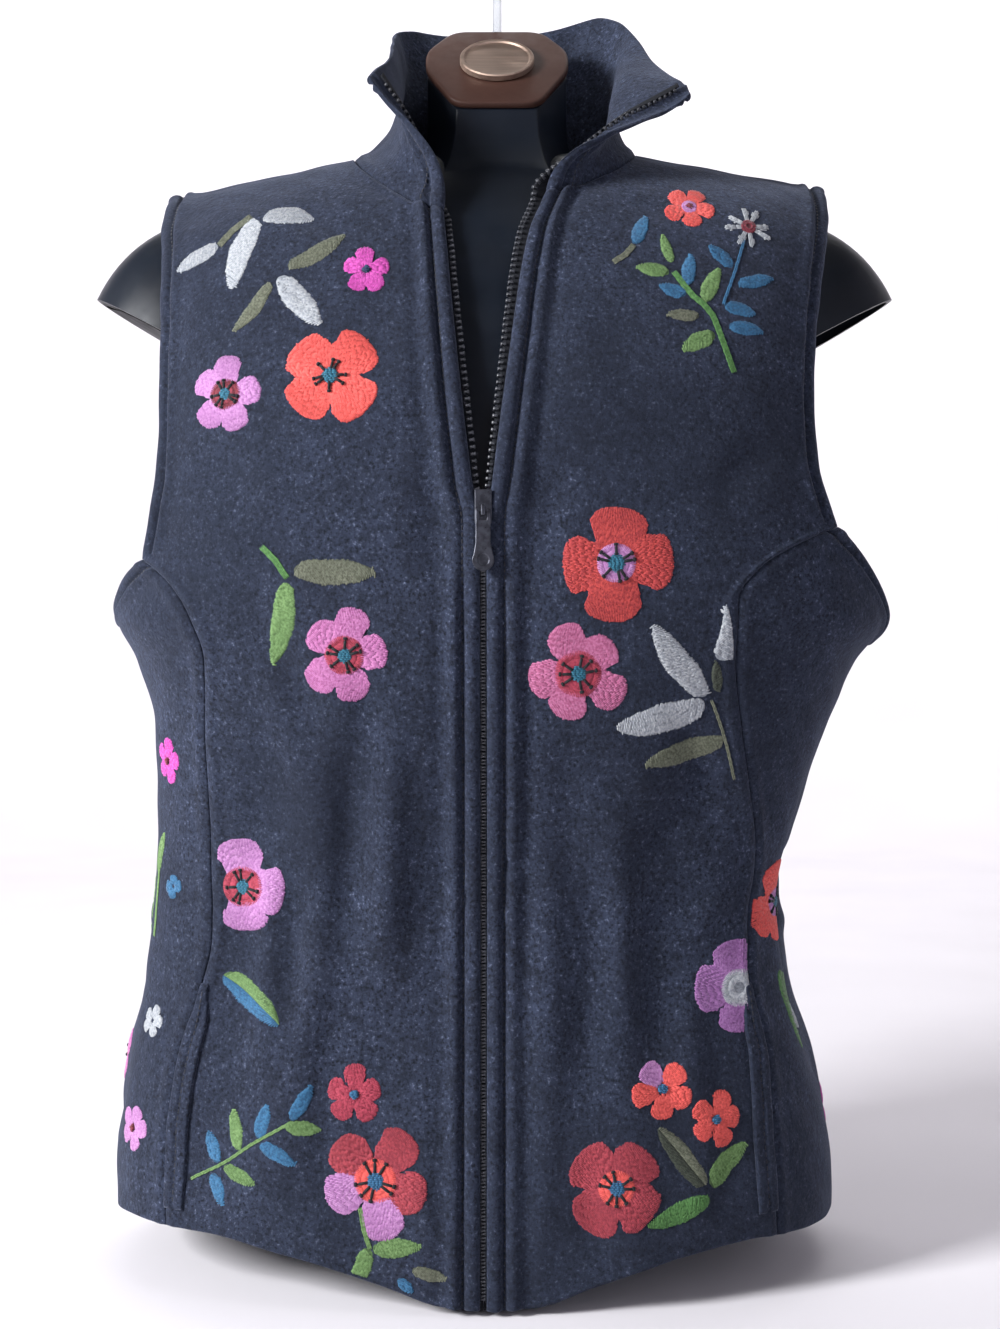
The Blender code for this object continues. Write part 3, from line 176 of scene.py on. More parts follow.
# %% [markdown]
# Smaller creases are listed in millimetres on the plane that each side of the vest faces: where each
# starts and ends, how far it bows sideways, how wide it is and how far it stands out (or in, if negative).

# %% Creases
# Side of the vest: (across and up at one end, at the other, bow, width, depth).
CREASES = {"front": (
    (-57, 348, -66, 140, 4, 9, 2.6), (-80, 330, -86, 168, 3, 8, -2.2),
    (-104, 250, -112, 128, -4, 8, -2.3), (-130, 262, -126, 118, 3, 8, 2.1), (36, 300, 30, 60, -3, 8, 2.1),
    (54, 262, 48, 92, 4, 8, -2.2), (108, 208, 116, 60, -4, 8, 2.1), (92, 330, 128, 236, 5, 8, -1.9),
    (-42, 470, -30, 380, 3, 8, -1.5), (36, 468, 24, 372, -3, 8, -1.5), (-150, 395, -86, 296, 6, 8, -1.3),
    (-128, 372, -92, 262, -5, 7, 1), (-74, 372, -66, 214, 4, 9, -1.2), (-58, 330, -52, 150, -3, 8, .9),
    (-100, 236, -112, 92, 5, 9, 1.3), (-84, 196, -92, 40, -4, 8, -1.1), (-34, 300, -40, 120, 3, 8, -.9),
    (-150, 210, -88, 176, -6, 8, -1), (-142, 122, -98, 150, 4, 7, .8), (-46, 84, -30, 14, 3, 6, .9),
    (-30, 236, -14, 232, 1, 3.5, -.9), (-28, 224, -13, 221, 1, 3, .8), (2, 238, 18, 242, 1, 3.5, -.8),
    (2, 214, 16, 212, -1, 3, .7), (44, 330, 40, 170, -4, 9, -1.2), (62, 290, 70, 118, 5, 9, 1.2),
    (84, 262, 96, 84, -5, 9, -1.3), (116, 300, 60, 226, 7, 8, -1.1), (138, 232, 84, 190, 5, 7, .9),
    (134, 122, 104, 24, -4, 8, 1.2), (28, 132, 24, 14, 2, 7, .9), (48, 90, 60, 20, -3, 6, -.9),
    (160, 470, 118, 430, -6, 8, -1), (-166, 468, -126, 424, 6, 8, -1), (-60, 590, -120, 612, 5, 8, -.8),
    (58, 604, 124, 616, -5, 8, -.8), (-40, 566, -60, 470, 5, 10, .8), (44, 560, 62, 470, -5, 10, .8),
), "back": (
    (-120, 330, -40, 236, 7, 9, -1.4), (-96, 250, -72, 120, -5, 9, 1.2), (-36, 262, -48, 84, 5, 9, -1.2),
    (20, 286, 14, 100, -4, 9, 1.1), (62, 252, 76, 76, 5, 9, -1.3), (120, 322, 52, 232, -7, 9, -1.3),
    (112, 214, 98, 60, 4, 8, 1.2), (-84, 228, 78, 214, 9, 9, -1.3), (-60, 196, 66, 188, -6, 7, .9),
    (-150, 470, -96, 420, -6, 9, -1), (150, 468, 98, 424, 6, 9, -1), (-58, 590, -126, 560, 6, 10, .9),
    (60, 590, 128, 556, -6, 10, .9), (-10, 72, -22, 20, 2, 6, .9),
), "left": (
    (-30, 236, 44, 206, 6, 7, -1.6), (-34, 214, 36, 188, -5, 6, 1.2), (-20, 320, 8, 250, 5, 7, -1.2),
    (24, 150, 10, 54, -4, 7, 1.2),
), "right": (
    (-44, 232, 34, 208, -6, 7, -1.5), (-38, 206, 30, 184, 5, 6, 1.1), (-10, 318, 12, 246, -5, 7, -1.1),
    (-22, 148, -8, 52, 4, 7, 1.2),
)}
print(len(FOLDS), "folds and", sum(map(len, CREASES.values())), "creases")

# %% [markdown]
# ## The body surface
#
# Cloth on a form takes the body's shape and hangs in soft folds. It could be draped with a cloth simulation, but
# a rule gives the same result each time and meets every seam exactly. So a place on the cloth is an angle round
# the body and a level up the rings, and a smooth curve through each column of the table gives the ring there.


# %% Curves through tables, and the surface
def smooth_track(keys, values, at):
    """A smooth curve through keyed values that never swings past them."""
    keys, values = np.asarray(keys, float), np.asarray(values, float)
    steps = np.diff(keys)
    slopes = np.diff(values) / steps
    tangents = np.concatenate([slopes[:1], np.zeros(len(slopes) - 1), slopes[-1:]])
    for i in range(1, len(slopes)):
        if slopes[i - 1] * slopes[i] > 0:
            before, after = 2 * steps[i] + steps[i - 1], steps[i] + 2 * steps[i - 1]
            tangents[i] = (before + after) / (before / slopes[i - 1] + after / slopes[i])
    at = np.clip(np.asarray(at, float), keys[0], keys[-1])
    i = np.clip(np.searchsorted(keys, at, side="right") - 1, 0, len(steps) - 1)
    t = (at - keys[i]) / steps[i]
    return (
        (1 + 2 * t) * (1 - t) ** 2 * values[i]
        + t * (1 - t) ** 2 * steps[i] * tangents[i]
        + t**2 * (3 - 2 * t) * values[i + 1]
        + t**2 * (t - 1) * steps[i] * tangents[i + 1]
    )


def read(table, column, at):
    """A column of a table whose first column is the key."""
    rows = np.asarray(table, float)
    return smooth_track(rows[:, 0], rows[:, column], at)


def ring_value(column, level):
    return smooth_track(np.arange(len(RINGS)), [row[RING_COLUMNS.index(column)] for row in RINGS], level)


def ring_by_sign(sign, over, under, level):
    return np.where(sign > 0, ring_value(over, level), ring_value(under, level))


def superellipse(angle, square):
    """The unit outline at an angle from the front, as (across, forward)."""
    across, forward = np.sin(angle), np.cos(angle)
    reach = (np.abs(across) ** square + np.abs(forward) ** square) ** (-1 / square)
    return across * reach, forward * reach


def shoulder_fall(x):
    slope = np.where(np.asarray(x) > 0, SHOULDER_SLOPE[LEFT], SHOULDER_SLOPE[RIGHT])
    return slope * (np.sqrt(np.square(x) + SHOULDER_ROUNDING**2) - SHOULDER_ROUNDING)


def height_at(x, level):
    return ring_value("height", level) - ring_value("slope", level) * shoulder_fall(x)


def unit(vectors):
    return vectors / np.linalg.norm(vectors, axis=-1, keepdims=True)


def body_point(angle, level):
    """The smooth body at an angle in radians and a level. Past the top it goes on down the other side."""
    angle, level = np.broadcast_arrays(np.asarray(angle, float), np.asarray(level, float))
    over = level > TOP_LEVEL
    angle = np.where(over, np.pi - angle, angle)
    level = np.where(over, 2 * TOP_LEVEL - level, level)
    across, forward = superellipse(angle, ring_value("square", level))
    x = across * ring_by_sign(across, "left", "right", level)
    y = -forward * ring_by_sign(forward, "front", "back", level)
    return np.stack([x, y, height_at(x, level)], axis=-1)


def normals_of(surface, angle, level):
    """Outward normals of a surface, from points a little to each side."""
    low = np.maximum(level - 0.02, 0.0)
    along = surface(angle + 0.01, level) - surface(angle - 0.01, level)
    up = surface(angle, level + 0.02) - surface(angle, low)
    return unit(np.cross(along, up))


def hump(value, middle, width):
    """A smooth hump of height 1 that fades out on both sides of its middle."""
    return np.exp(-(((value - middle) / width) ** 2))


def fold_depth(angle, height):
    total = np.zeros(np.broadcast(angle, height).shape)
    for low_angle, low, high_angle, high, width, depth in FOLDS:
        t = np.clip((height - low) / (high - low), 0, 1)
        middle = np.radians(low_angle + (high_angle - low_angle) * t)
        off = (angle - middle + np.pi) % (2 * np.pi) - np.pi
        fade = np.clip((height - low) / 0.03 + 0.6, 0, 1) * np.clip((high - height) / 0.12, 0, 1)
        total += depth * hump(off, 0, radians(width)) * fade
    return total


def smooth_step(low, high, value):
    t = np.clip((np.asarray(value, float) - low) / (high - low), 0, 1)
    return t * t * (3 - 2 * t)


# Each side of the vest as it is seen from outside: the way to the viewer's right, and the way they look.
FACES = {
    "front": (np.array([1.0, 0, 0]), np.array([0, 1.0, 0])),
    "back": (np.array([-1.0, 0, 0]), np.array([0, -1.0, 0])),
    "left": (np.array([0, 1.0, 0]), np.array([-1.0, 0, 0])),
    "right": (np.array([0, -1.0, 0]), np.array([1.0, 0, 0])),
    "right_front": (np.array([0.574, -0.819, 0]), np.array([0.819, 0.574, 0])),
}


CREASE_STRENGTH, CREASE_SPREAD = 2.2, 1.25  # how much the table's depths and widths are scaled


def crease_depth(points, normals):
    """How far the smaller creases move the cloth."""
    total = np.zeros(points.shape[:-1])
    for face, creases in CREASES.items():
        across, look = FACES[face]
        seen = smooth_step(0.15, 0.5, -(normals @ look))
        spot = np.stack([points @ across, points[..., 2]], axis=-1) * 1000
        for x1, z1, x2, z2, bow, width, depth in creases:
            way = np.array([x2 - x1, z2 - z1], float)
            length = np.linalg.norm(way)
            way /= length
            t = ((spot - [x1, z1]) @ way) / length
            off = (spot - [x1, z1]) @ np.array([-way[1], way[0]]) - bow * 4 * t * (1 - t)
            fade = smooth_step(0, 0.4, t) * smooth_step(0, 0.4, 1 - t)
            total += CREASE_STRENGTH * depth / 1000 * hump(off, 0, width * CREASE_SPREAD) * fade * seen
    return total


def unevenness(points):
    """The slight waviness that pressed wool keeps: a few mixed ripples, some 20 to 60 mm long."""
    x, y, z = (points[..., i] * 1000 for i in range(3))
    return 0.0002 * (
        np.sin(x / 7.1 + 1.3 * np.sin(z / 23.0)) * np.cos(z / 9.7 + y / 15.0)
        + 1.2 * np.sin(z / 13.3 + x / 31.0 + 0.7) * np.cos(x / 11.9 - y / 8.3)
        + 0.8 * np.sin((x + z) / 5.3 + y / 6.1)
    )


def folded_point(angle, level):
    """The cloth's outer face with its large folds, as the solids have it."""
    smooth = body_point(angle, level)
    depth = fold_depth(angle, smooth[..., 2])
    return smooth + normals_of(body_point, angle, np.asarray(level, float)) * depth[..., None]


def cloth_point(angle, level):
    """The cloth's outer face with all its folds and creases."""
    folded = folded_point(angle, level)
    normal = normals_of(body_point, angle, np.asarray(level, float))
    return folded + normal * (crease_depth(folded, normal) + unevenness(folded))[..., None]


def found(measure, wanted, highest):
    """Where a measure that rises from 0 to highest has the wanted value, by halving the range 40 times."""
    low, high = np.zeros(np.shape(wanted)), np.full(np.shape(wanted), highest)
    for _ in range(40):
        middle = (low + high) / 2
        too_low = measure(middle) < wanted
        low, high = np.where(too_low, middle, low), np.where(too_low, high, middle)
    return (low + high) / 2


def level_at(x, height):
    return found(lambda level: height_at(x, level), height, TOP_LEVEL)


def angle_at(x, level, behind=False):
    share = np.clip(np.abs(x) / ring_by_sign(x, "left", "right", level), 0, 1)
    angle = found(lambda at: superellipse(at, ring_value("square", level))[0], share, np.pi / 2)
    return np.sign(x) * (np.pi - angle if behind else angle)


def place(x, height, behind=False):
    """(angle, level) of the cloth at a height and a distance from the middle."""
    x, height = np.asarray(x, float), np.asarray(height, float)
    level = level_at(x, height)
    return np.stack([angle_at(x, level, behind), level], axis=-1)


# The solids are centred on the origin. The zip's hinge, which the frame gives, tells how far they were moved:
# it stands off the cloth by the slider's base, its gap, its top plate and half of the pull's bail.
HINGE_OUT = 0.0009 + 0.0004 + 0.0011 + 0.0031 / 2
hinge = Vector(frame["joints"][0]["pos_m"])
by_zip = place(ZIP_X - ZIP_GAP / 2, SLIDER_Z)
MOVED = hinge.y - (float(folded_point(by_zip[0], by_zip[1])[1]) - HINGE_OUT)
print(f"the frame is {MOVED * 1000:.2f} mm behind the rings' own axis")

# %% [markdown]
# ## Cutting the panels
#
# A tailor cuts flat panels and sews them edge to edge. Here each panel is a grid of places between its four edges,
# so that neighbours share a seam line. The grid is then drawn again with lines close together along its edges,
# where the cloth rolls under, and about 3 mm apart elsewhere. Even subdivision would need far more faces.

# %% Edges of the panels
ROWS_LOW, ROWS_HIGH, COLUMNS = 90, 60, 72


def hem_height(angle):
    turned = np.degrees((np.asarray(angle) + np.pi) % (2 * np.pi) - np.pi)
    return np.where(turned > 0, *(read(HEM, column, np.abs(turned)) for column in (1, 2)))


def hem_place(angle):
    return np.stack([angle, level_at(0.0, hem_height(angle))], axis=-1)


def arc(points, axis=0):
    """Length along a line of points, or along the rows or columns of a grid."""
    lengths = np.linalg.norm(np.diff(points, axis=axis), axis=-1)
    start = np.zeros_like(np.take(lengths, [0], axis=axis))
    return np.concatenate([start, np.cumsum(lengths, axis=axis)], axis=axis)


def shares_of(edge):
    lengths = arc(folded_point(edge[:, 0], edge[:, 1]))
    return lengths / lengths[-1]


def sampled(at, lengths, values):
    """The values of a line at given lengths along it, column by column."""
    return np.stack([np.interp(at, lengths, column) for column in values.T], axis=-1)


def evenly(edge, steps):
    return sampled(np.linspace(0, 1, steps + 1), shares_of(edge), edge)


def centre_edge(side):
    low = np.linspace(float(hem_height(0.0)), BUST_HEIGHT, ROWS_LOW + 1)
    high = np.linspace(BUST_HEIGHT, OPENING[side][-1][0], ROWS_HIGH + 1)
    heights = np.concatenate([low, high[1:]])
    return place(read(OPENING[side], 1, heights), heights)


def front_seam_edge(side):
    table = FRONT_SEAM[side]
    foot = hem_height(angle_at(side * table[0][1], 0.3))
    heights = np.linspace(float(foot), table[-1][0], 160)
    return evenly(place(side * read(table, 1, heights), heights), ROWS_LOW)


def back_seam_edge(side):
    foot = hem_place(np.array(side * radians(BACK_SEAM_ANGLE[side])))
    head = place(side * BACK_ARMHOLE[side][0][1], BACK_ARMHOLE[side][0][0], behind=True)
    heights = np.linspace(float(ring_value("height", foot[1])), BACK_ARMHOLE[side][0][0], ROWS_LOW + 1)
    levels = level_at(0.0, heights)
    angles = foot[0] + (head[0] - foot[0]) * (levels - foot[1]) / (head[1] - foot[1])
    levels[-1] = head[1]
    return np.stack([angles, levels], axis=-1)


def armhole_edge(side, behind):
    table = (BACK_ARMHOLE if behind else FRONT_ARMHOLE)[side]
    tip_x = table[-1][1]
    foot = place(side * table[0][1], table[0][0], behind)
    levels = np.linspace(float(foot[1]), TOP_LEVEL, ROWS_HIGH + 1)
    x = np.full(len(levels), tip_x)
    for _ in range(12):
        x = read(table, 1, height_at(x, levels))
    x[0], x[-1] = table[0][1], tip_x
    return np.stack([angle_at(side * x, levels, behind), levels], axis=-1)


def shoulder_edge(side, behind, steps=30):
    x = side * np.linspace(NECK_HALF_WIDTH, FRONT_ARMHOLE[side][-1][1], steps + 1)
    levels = np.full(len(x), TOP_LEVEL)
    return np.stack([angle_at(x, levels, behind), levels], axis=-1)


def front_neckline(side, steps=30):
    rows = np.asarray(FRONT_NECKLINE[side], float)
    x = np.linspace(rows[0, 1], NECK_HALF_WIDTH, 90)
    points = place(side * x, smooth_track(rows[:, 1], rows[:, 0], x))
    points[-1] = shoulder_edge(side, False)[0]
    return evenly(points, steps)


def back_neckline(steps=60):
    turn = np.linspace(0, np.pi, 160)
    end_height = ring_value("height", TOP_LEVEL) - shoulder_fall(NECK_HALF_WIDTH)
    heights = end_height - (end_height - BACK_NECK_HEIGHT) * np.sin(turn)
    points = place(NECK_HALF_WIDTH * np.cos(turn), heights, behind=True)
    points[:, 0] %= 2 * np.pi
    points[0] = shoulder_edge(LEFT, True)[0]
    points[-1] = shoulder_edge(RIGHT, True)[0] + [2 * np.pi, 0]
    return evenly(points, steps)


# %% Grids of places
def filled(bottom, top, start, end):
    """A grid between four edges: the flat grid of its corners, plus how far each edge bows from it."""
    u = ((shares_of(bottom) + shares_of(top)) / 2)[None, :, None]
    v = ((shares_of(start) + shares_of(end)) / 2)[:, None, None]

    def bow(edge, share):
        return edge - (edge[0] * (1 - share) + edge[-1] * share)

    flat = (bottom[0] * (1 - u) + bottom[-1] * u) * (1 - v) + (top[0] * (1 - u) + top[-1] * u) * v
    across = bow(start, v[:, 0])[:, None] * (1 - u) ** 2 + bow(end, v[:, 0])[:, None] * u**2
    along = bow(bottom, u[0])[None] * (1 - v) ** 2 + bow(top, u[0])[None] * v**2
    return flat + across + along


def stacked(bottom, top, start, end):
    middle = start[ROWS_LOW] + (end[ROWS_LOW] - start[ROWS_LOW]) * shares_of(top)[:, None]
    lower = filled(bottom, middle, start[: ROWS_LOW + 1], end[: ROWS_LOW + 1])
    upper = filled(middle, top, start[ROWS_LOW:], end[ROWS_LOW:])
    return np.concatenate([lower, upper[1:]])


def front_places(side):
    start = centre_edge(side)
    end = np.concatenate([front_seam_edge(side), armhole_edge(side, False)[1:]])
    top = np.concatenate([front_neckline(side), shoulder_edge(side, False)[1:]])
    bottom = hem_place(start[0, 0] + (end[0, 0] - start[0, 0]) * shares_of(top))
    start[0], end[0] = bottom[0], bottom[-1]
    top[0], top[-1] = start[-1], end[-1]
    return stacked(bottom, top, start, end)


def side_places(side):
    start, end = front_seam_edge(side), back_seam_edge(side)
    shares = np.linspace(0, 1, COLUMNS // 2 + 1)
    bottom = hem_place(start[0, 0] + (end[0, 0] - start[0, 0]) * shares)
    start[0], end[0] = bottom[0], bottom[-1]
    angles = start[-1, 0] + (end[-1, 0] - start[-1, 0]) * shares
    ends = body_point(np.array([start[-1, 0], end[-1, 0]]), np.array([start[-1, 1], end[-1, 1]]))[:, 2]
    heights = smooth_track([0, 0.45, 1], [ends[0], UNDERARM_HEIGHT[side], ends[1]], shares)
    top = np.stack([angles, level_at(0.0, heights)], axis=-1)
    top[0], top[-1] = start[-1], end[-1]
    return filled(bottom, top, start, end)


def back_places():
    turn = np.array([2 * np.pi, 0])
    start = np.concatenate([back_seam_edge(LEFT), armhole_edge(LEFT, True)[1:]])
    end = np.concatenate([back_seam_edge(RIGHT), armhole_edge(RIGHT, True)[1:]]) + turn
    top = np.concatenate(
        [shoulder_edge(LEFT, True)[::-1], back_neckline()[1:-1], shoulder_edge(RIGHT, True) + turn]
    )
    bottom = hem_place(start[0, 0] + (end[0, 0] - start[0, 0]) * shares_of(top))
    start[0], end[0] = bottom[0], bottom[-1]
    return stacked(bottom, top, start, end)


# %% Lines close together along the worked edges
STITCH_IN = 0.0094  # how far from a folded edge it is stitched down
MESH_STEP = 0.003
FOLD_LINES = np.array([0, .0005, .0012, .0022, .0038, .0058, .0074, .0084, .009, .0094, .0098, .0104, .0114,
                       .0128, .0146, .0168])
SEAM_LINES = np.array([0, .0005, .0011, .0019, .003, .0046, .0066])


def redrawn(places, axis, first, last, corners=()):
    """The same patch of cloth with new lines across it: at set distances from its two edges, and on its corners."""
    grid = np.moveaxis(places, axis, 0)
    lengths = arc(cloth_point(grid[..., 0], grid[..., 1]), 0)
    stops = [0, *corners, len(grid) - 1]
    wanted = []
    for k, (low, high) in enumerate(zip(stops, stops[1:])):
        near = first if k == 0 else first[:1]
        far = last if high == stops[-1] else last[:1]
        span = lengths[high] - lengths[low]
        middle = max(2, int(round((span.mean() - near[-1] - far[-1]) / MESH_STEP)))
        squeeze = np.minimum(1.0, 0.8 * span / (near[-1] + far[-1] + 1e-9))
        start, end = lengths[low] + near[-1] * squeeze, lengths[high] - far[-1] * squeeze
        inner = start + (end - start) * np.linspace(0, 1, middle + 1)[:, None]
        wanted += [lengths[low] + near[:-1, None] * squeeze, inner if high == stops[-1] else inner[:-1]]
        if high == stops[-1]:
            wanted.append(lengths[high] - far[-2::-1, None] * squeeze)
    wanted = np.concatenate(wanted)
    lines = [sampled(wanted[:, k], lengths[:, k], grid[:, k]) for k in range(grid.shape[1])]
    return np.moveaxis(np.stack(lines, axis=1), 0, axis)


# %% [markdown]
# Along a folded edge the cloth is doubled, so it stands up a little as far as its line of stitches, which pulls it
# down. Along a seam it rolls in. These profiles give the cloth's height by its distance from the edge. A Solidify
# modifier could thicken it, but a wall made from two grids lets the edge round over and the inside stay plain.


# %% Edge profiles and walls
def roll_under(distance):
    """How far the face drops where the edge rounds over."""
    near = np.clip(1 - distance / 0.0017, 0, 1)
    return -WALL / 2 * (1 - np.sqrt(1 - near**2))


def stitched_band(distance, height, *humps):
    """A band of doubled cloth as far as its stitches, then humps: (height, how far past the stitches, width)."""
    total = height * np.sin(np.pi * np.clip(distance / (STITCH_IN - 0.0004), 0, 1)) ** 0.7
    for rise, past, width in humps:
        total = total + rise * hump(distance, STITCH_IN + past, width)
    return total


def folded_edge(distance):
    """A plain folded edge: its band, the groove that the stitches pull and a slight swell behind it."""
    return stitched_band(distance, 0.0019, (-0.0012, 0, 0.0015), (0.0016, 0.0042, 0.003))


def zip_welt(distance):
    """The zip's edge: a padded band, its stitched groove, a second roll of cloth and a shallow trough."""
    return stitched_band(distance, 0.0026, (-0.0017, 0, 0.0015), (0.0027, 0.005, 0.0034), (-0.0012, 0.013, 0.004))


def seam_edge(distance):
    return 0.0011 * hump(distance, 0.0052, 0.0032)


def placed(name, data):
    """A new object at the origin, unturned and unscaled: its place is in its mesh."""
    made = bpy.data.objects.new(name, data)
    bpy.context.scene.collection.objects.link(made)
    return made


def mesh_object(name, points, faces):
    mesh = bpy.data.meshes.new(name)
    mesh.from_pydata(np.asarray(points, float).tolist(), [], [list(map(int, face)) for face in faces])
    mesh.shade_smooth()
    return placed(name, mesh)


def worked(made, work):
    """Changes an object's mesh with bmesh and turns its faces outwards."""
    tool = bmesh.new()
    tool.from_mesh(made.data)
    work(tool)
    bmesh.ops.recalc_face_normals(tool, faces=tool.faces)
    tool.to_mesh(made.data)
    tool.free()
    return made


def outwards(made):
    return worked(made, lambda tool: None)


def grid_faces(rows, columns):
    cells = np.arange(rows * columns).reshape(rows, columns)
    return np.stack([cells[:-1, :-1], cells[:-1, 1:], cells[1:, 1:], cells[1:, :-1]], axis=-1).reshape(-1, 4)


def wall(name, outer, inner):
    """A closed wall between two matching grids of points."""
    rows, columns = outer.shape[:2]
    count = rows * columns
    face = grid_faces(rows, columns)
    cells = np.arange(count).reshape(rows, columns)
    rim = np.concatenate([cells[0, :], cells[1:, -1], cells[-1, -2::-1], cells[-2:0:-1, 0]])
    onward = np.roll(rim, -1)
    edge = np.stack([rim, rim + count, onward + count, onward], axis=1)
    points = np.concatenate([outer.reshape(-1, 3), inner.reshape(-1, 3)])
    made = mesh_object(name, points, np.concatenate([face, face[:, ::-1] + count, edge]))
    return outwards(made)


def drawn_in(points, gap):
    moved = points.copy()
    for axis in (0, 1):
        grid = np.moveaxis(moved, axis, 0)
        for edge, inward in ((0, 1), (-1, -2)):
            grid[edge] += unit(grid[inward] - grid[edge]) * gap / 2
    return moved


def grid_area(face):
    quads = np.cross(np.diff(face, axis=0)[:, :-1], np.diff(face, axis=1)[:-1])
    return float(np.linalg.norm(quads, axis=-1).sum())


def cut_panel(name, places, lines, rise_of):
    """A panel as a closed wall, with what is needed to sew on it. lines gives the spacing of each edge's lines."""
    places = redrawn(places, 1, lines["start"], lines["end"], lines.get("columns", ()))
    places = redrawn(places, 0, lines["bottom"], lines["top"], lines.get("rows", ()))
    angle, level = places[..., 0], places[..., 1]
    face, normal = cloth_point(angle, level), normals_of(cloth_point, angle, level)
    face = face + [0, MOVED, 0]
    along, up = arc(face, 1), arc(face, 0)
    away = {"start": along, "end": along[:, -1:] - along, "bottom": up, "top": up[-1:] - up}
    nearest = np.minimum.reduce(list(away.values()))
    roll = roll_under(nearest)
    outer = drawn_in(face + normal * (rise_of(away, face) + roll)[..., None], SEWN_GAP)
    inner = drawn_in(face - normal * (WALL + roll)[..., None], SEWN_GAP)
    made = wall(name, outer, inner)
    flat = outer[3:-3, 3:-3]
    tree = BVHTree.FromPolygons(flat.reshape(-1, 3).tolist(), grid_faces(*flat.shape[:2]).tolist())
    sizes = (float(along[:, -1].max()), float(up[-1].max()))
    area = grid_area(face)
    print(f"{name}: {outer.shape[0]} x {outer.shape[1]} points, {sizes[0]:.3f} x {sizes[1]:.3f} m, {area:.4f} m2")
    return {"object": made, "outer": outer, "face": face, "normal": normal, "tree": tree, "sizes": sizes, "area": area}


def armhole_rise(distance, heights, table):
    """A seam's profile up to the armhole, and a folded edge's along it."""
    foot = table[0][0]
    on_armhole = smooth_step(foot - 0.004, foot + 0.006, heights)[:, None]
    return on_armhole * folded_edge(distance) + (1 - on_armhole) * seam_edge(distance)


def front_rise(side):
    def rise(away, face):
        end = armhole_rise(away["end"], face[:, -1, 2], FRONT_ARMHOLE[side])
        under_pull = 1 - 0.55 * hump(face[..., 2], SLIDER_Z - 0.02, 0.026)  # the pull tab lies here
        return zip_welt(away["start"]) * under_pull + end + seam_edge(away["top"])

    return rise


def back_rise(away, face):
    start = armhole_rise(away["start"], face[:, 0, 2], BACK_ARMHOLE[LEFT])
    return seam_edge(away["top"]) + start + armhole_rise(away["end"], face[:, -1, 2], BACK_ARMHOLE[RIGHT])


def side_rise(away, face):
    return seam_edge(away["start"]) + seam_edge(away["end"]) + folded_edge(away["top"])


# %% [markdown]
# Now the five panels are cut: two fronts, two side panels under the arms, and the back.

# %% Cut the panels
panels = {}
lines = {"start": FOLD_LINES, "end": FOLD_LINES, "bottom": SEAM_LINES, "top": SEAM_LINES, "rows": (ROWS_LOW,)}
side_lines = {"start": SEAM_LINES, "end": SEAM_LINES, "bottom": SEAM_LINES, "top": FOLD_LINES}
for side, side_name in SIDE_NAMES.items():
    front, flank = f"front_{side_name}", f"side_{side_name}"
    panels[front] = cut_panel(f"wool_{front}", front_places(side), {**lines, "columns": (30,)}, front_rise(side))
    panels[flank] = cut_panel(f"wool_{flank}", side_places(side), side_lines, side_rise)
panels["back"] = cut_panel("wool_back", back_places(), {**lines, "columns": (30, 90)}, back_rise)

# %% [markdown]
# ## Collar
#
# The collar stands up from the neckline and spreads open, with its two front corners turned out. Each of its
# columns is a smooth curve up through three lines: where it rolls over, its middle and its upper edge. That is
# easier to steer than a sheet bent by modifiers.


# %% Collar
COLLAR_LINES = 34


def neckline():
    right, left = front_neckline(RIGHT, 40), front_neckline(LEFT, 40)
    behind = back_neckline(70)[::-1]
    line = np.concatenate([right[:-1], behind[:-1], left[::-1]])
    return cloth_point(line[:, 0], line[:, 1]), normals_of(cloth_point, line[:, 0], line[:, 1])


def collar_grid():
    edge, out = neckline()
    along = arc(edge) / arc(edge)[-1]
    length = arc(edge)[-1]
    wanted = np.concatenate(
        [FOLD_LINES[:-1], np.linspace(FOLD_LINES[-1], length - FOLD_LINES[-1], 110), length - FOLD_LINES[-2::-1]]
    ) / length
    edge, out = sampled(wanted, along, edge), sampled(wanted, along, out)
    foot = edge + (unit(-edge * [1, 1, 0]) * 0.5 + np.array([0, 0, 1.0])) * SEWN_GAP
    roll, middle, top = (
        np.stack([read(table, axis, wanted) for axis in (1, 2, 3)], axis=-1)
        for table in (COLLAR_ROLL, COLLAR_MIDDLE, COLLAR_TOP)
    )
    v = np.concatenate([SEAM_LINES[:-1] / 0.1, np.linspace(0.066, 0.9, COLLAR_LINES), 1 - FOLD_LINES[8::-1] / 0.095])
    v = v[:, None, None] * 3
    return (
        (1 - v) * (2 - v) * (3 - v) / 6 * foot
        + v * (2 - v) * (3 - v) / 2 * roll
        + v * (v - 1) * (3 - v) / 2 * middle
        + v * (v - 1) * (v - 2) / 6 * top
    ) + [0, MOVED, 0], unit(out)


collar_face, cloth_out = collar_grid()
collar_normal = unit(np.cross(np.gradient(collar_face, axis=1), np.gradient(collar_face, axis=0)))
if (collar_normal * collar_face * [1, 1, 0]).sum() < 0:
    collar_normal = -collar_normal
along, up = arc(collar_face, 1), arc(collar_face, 0)
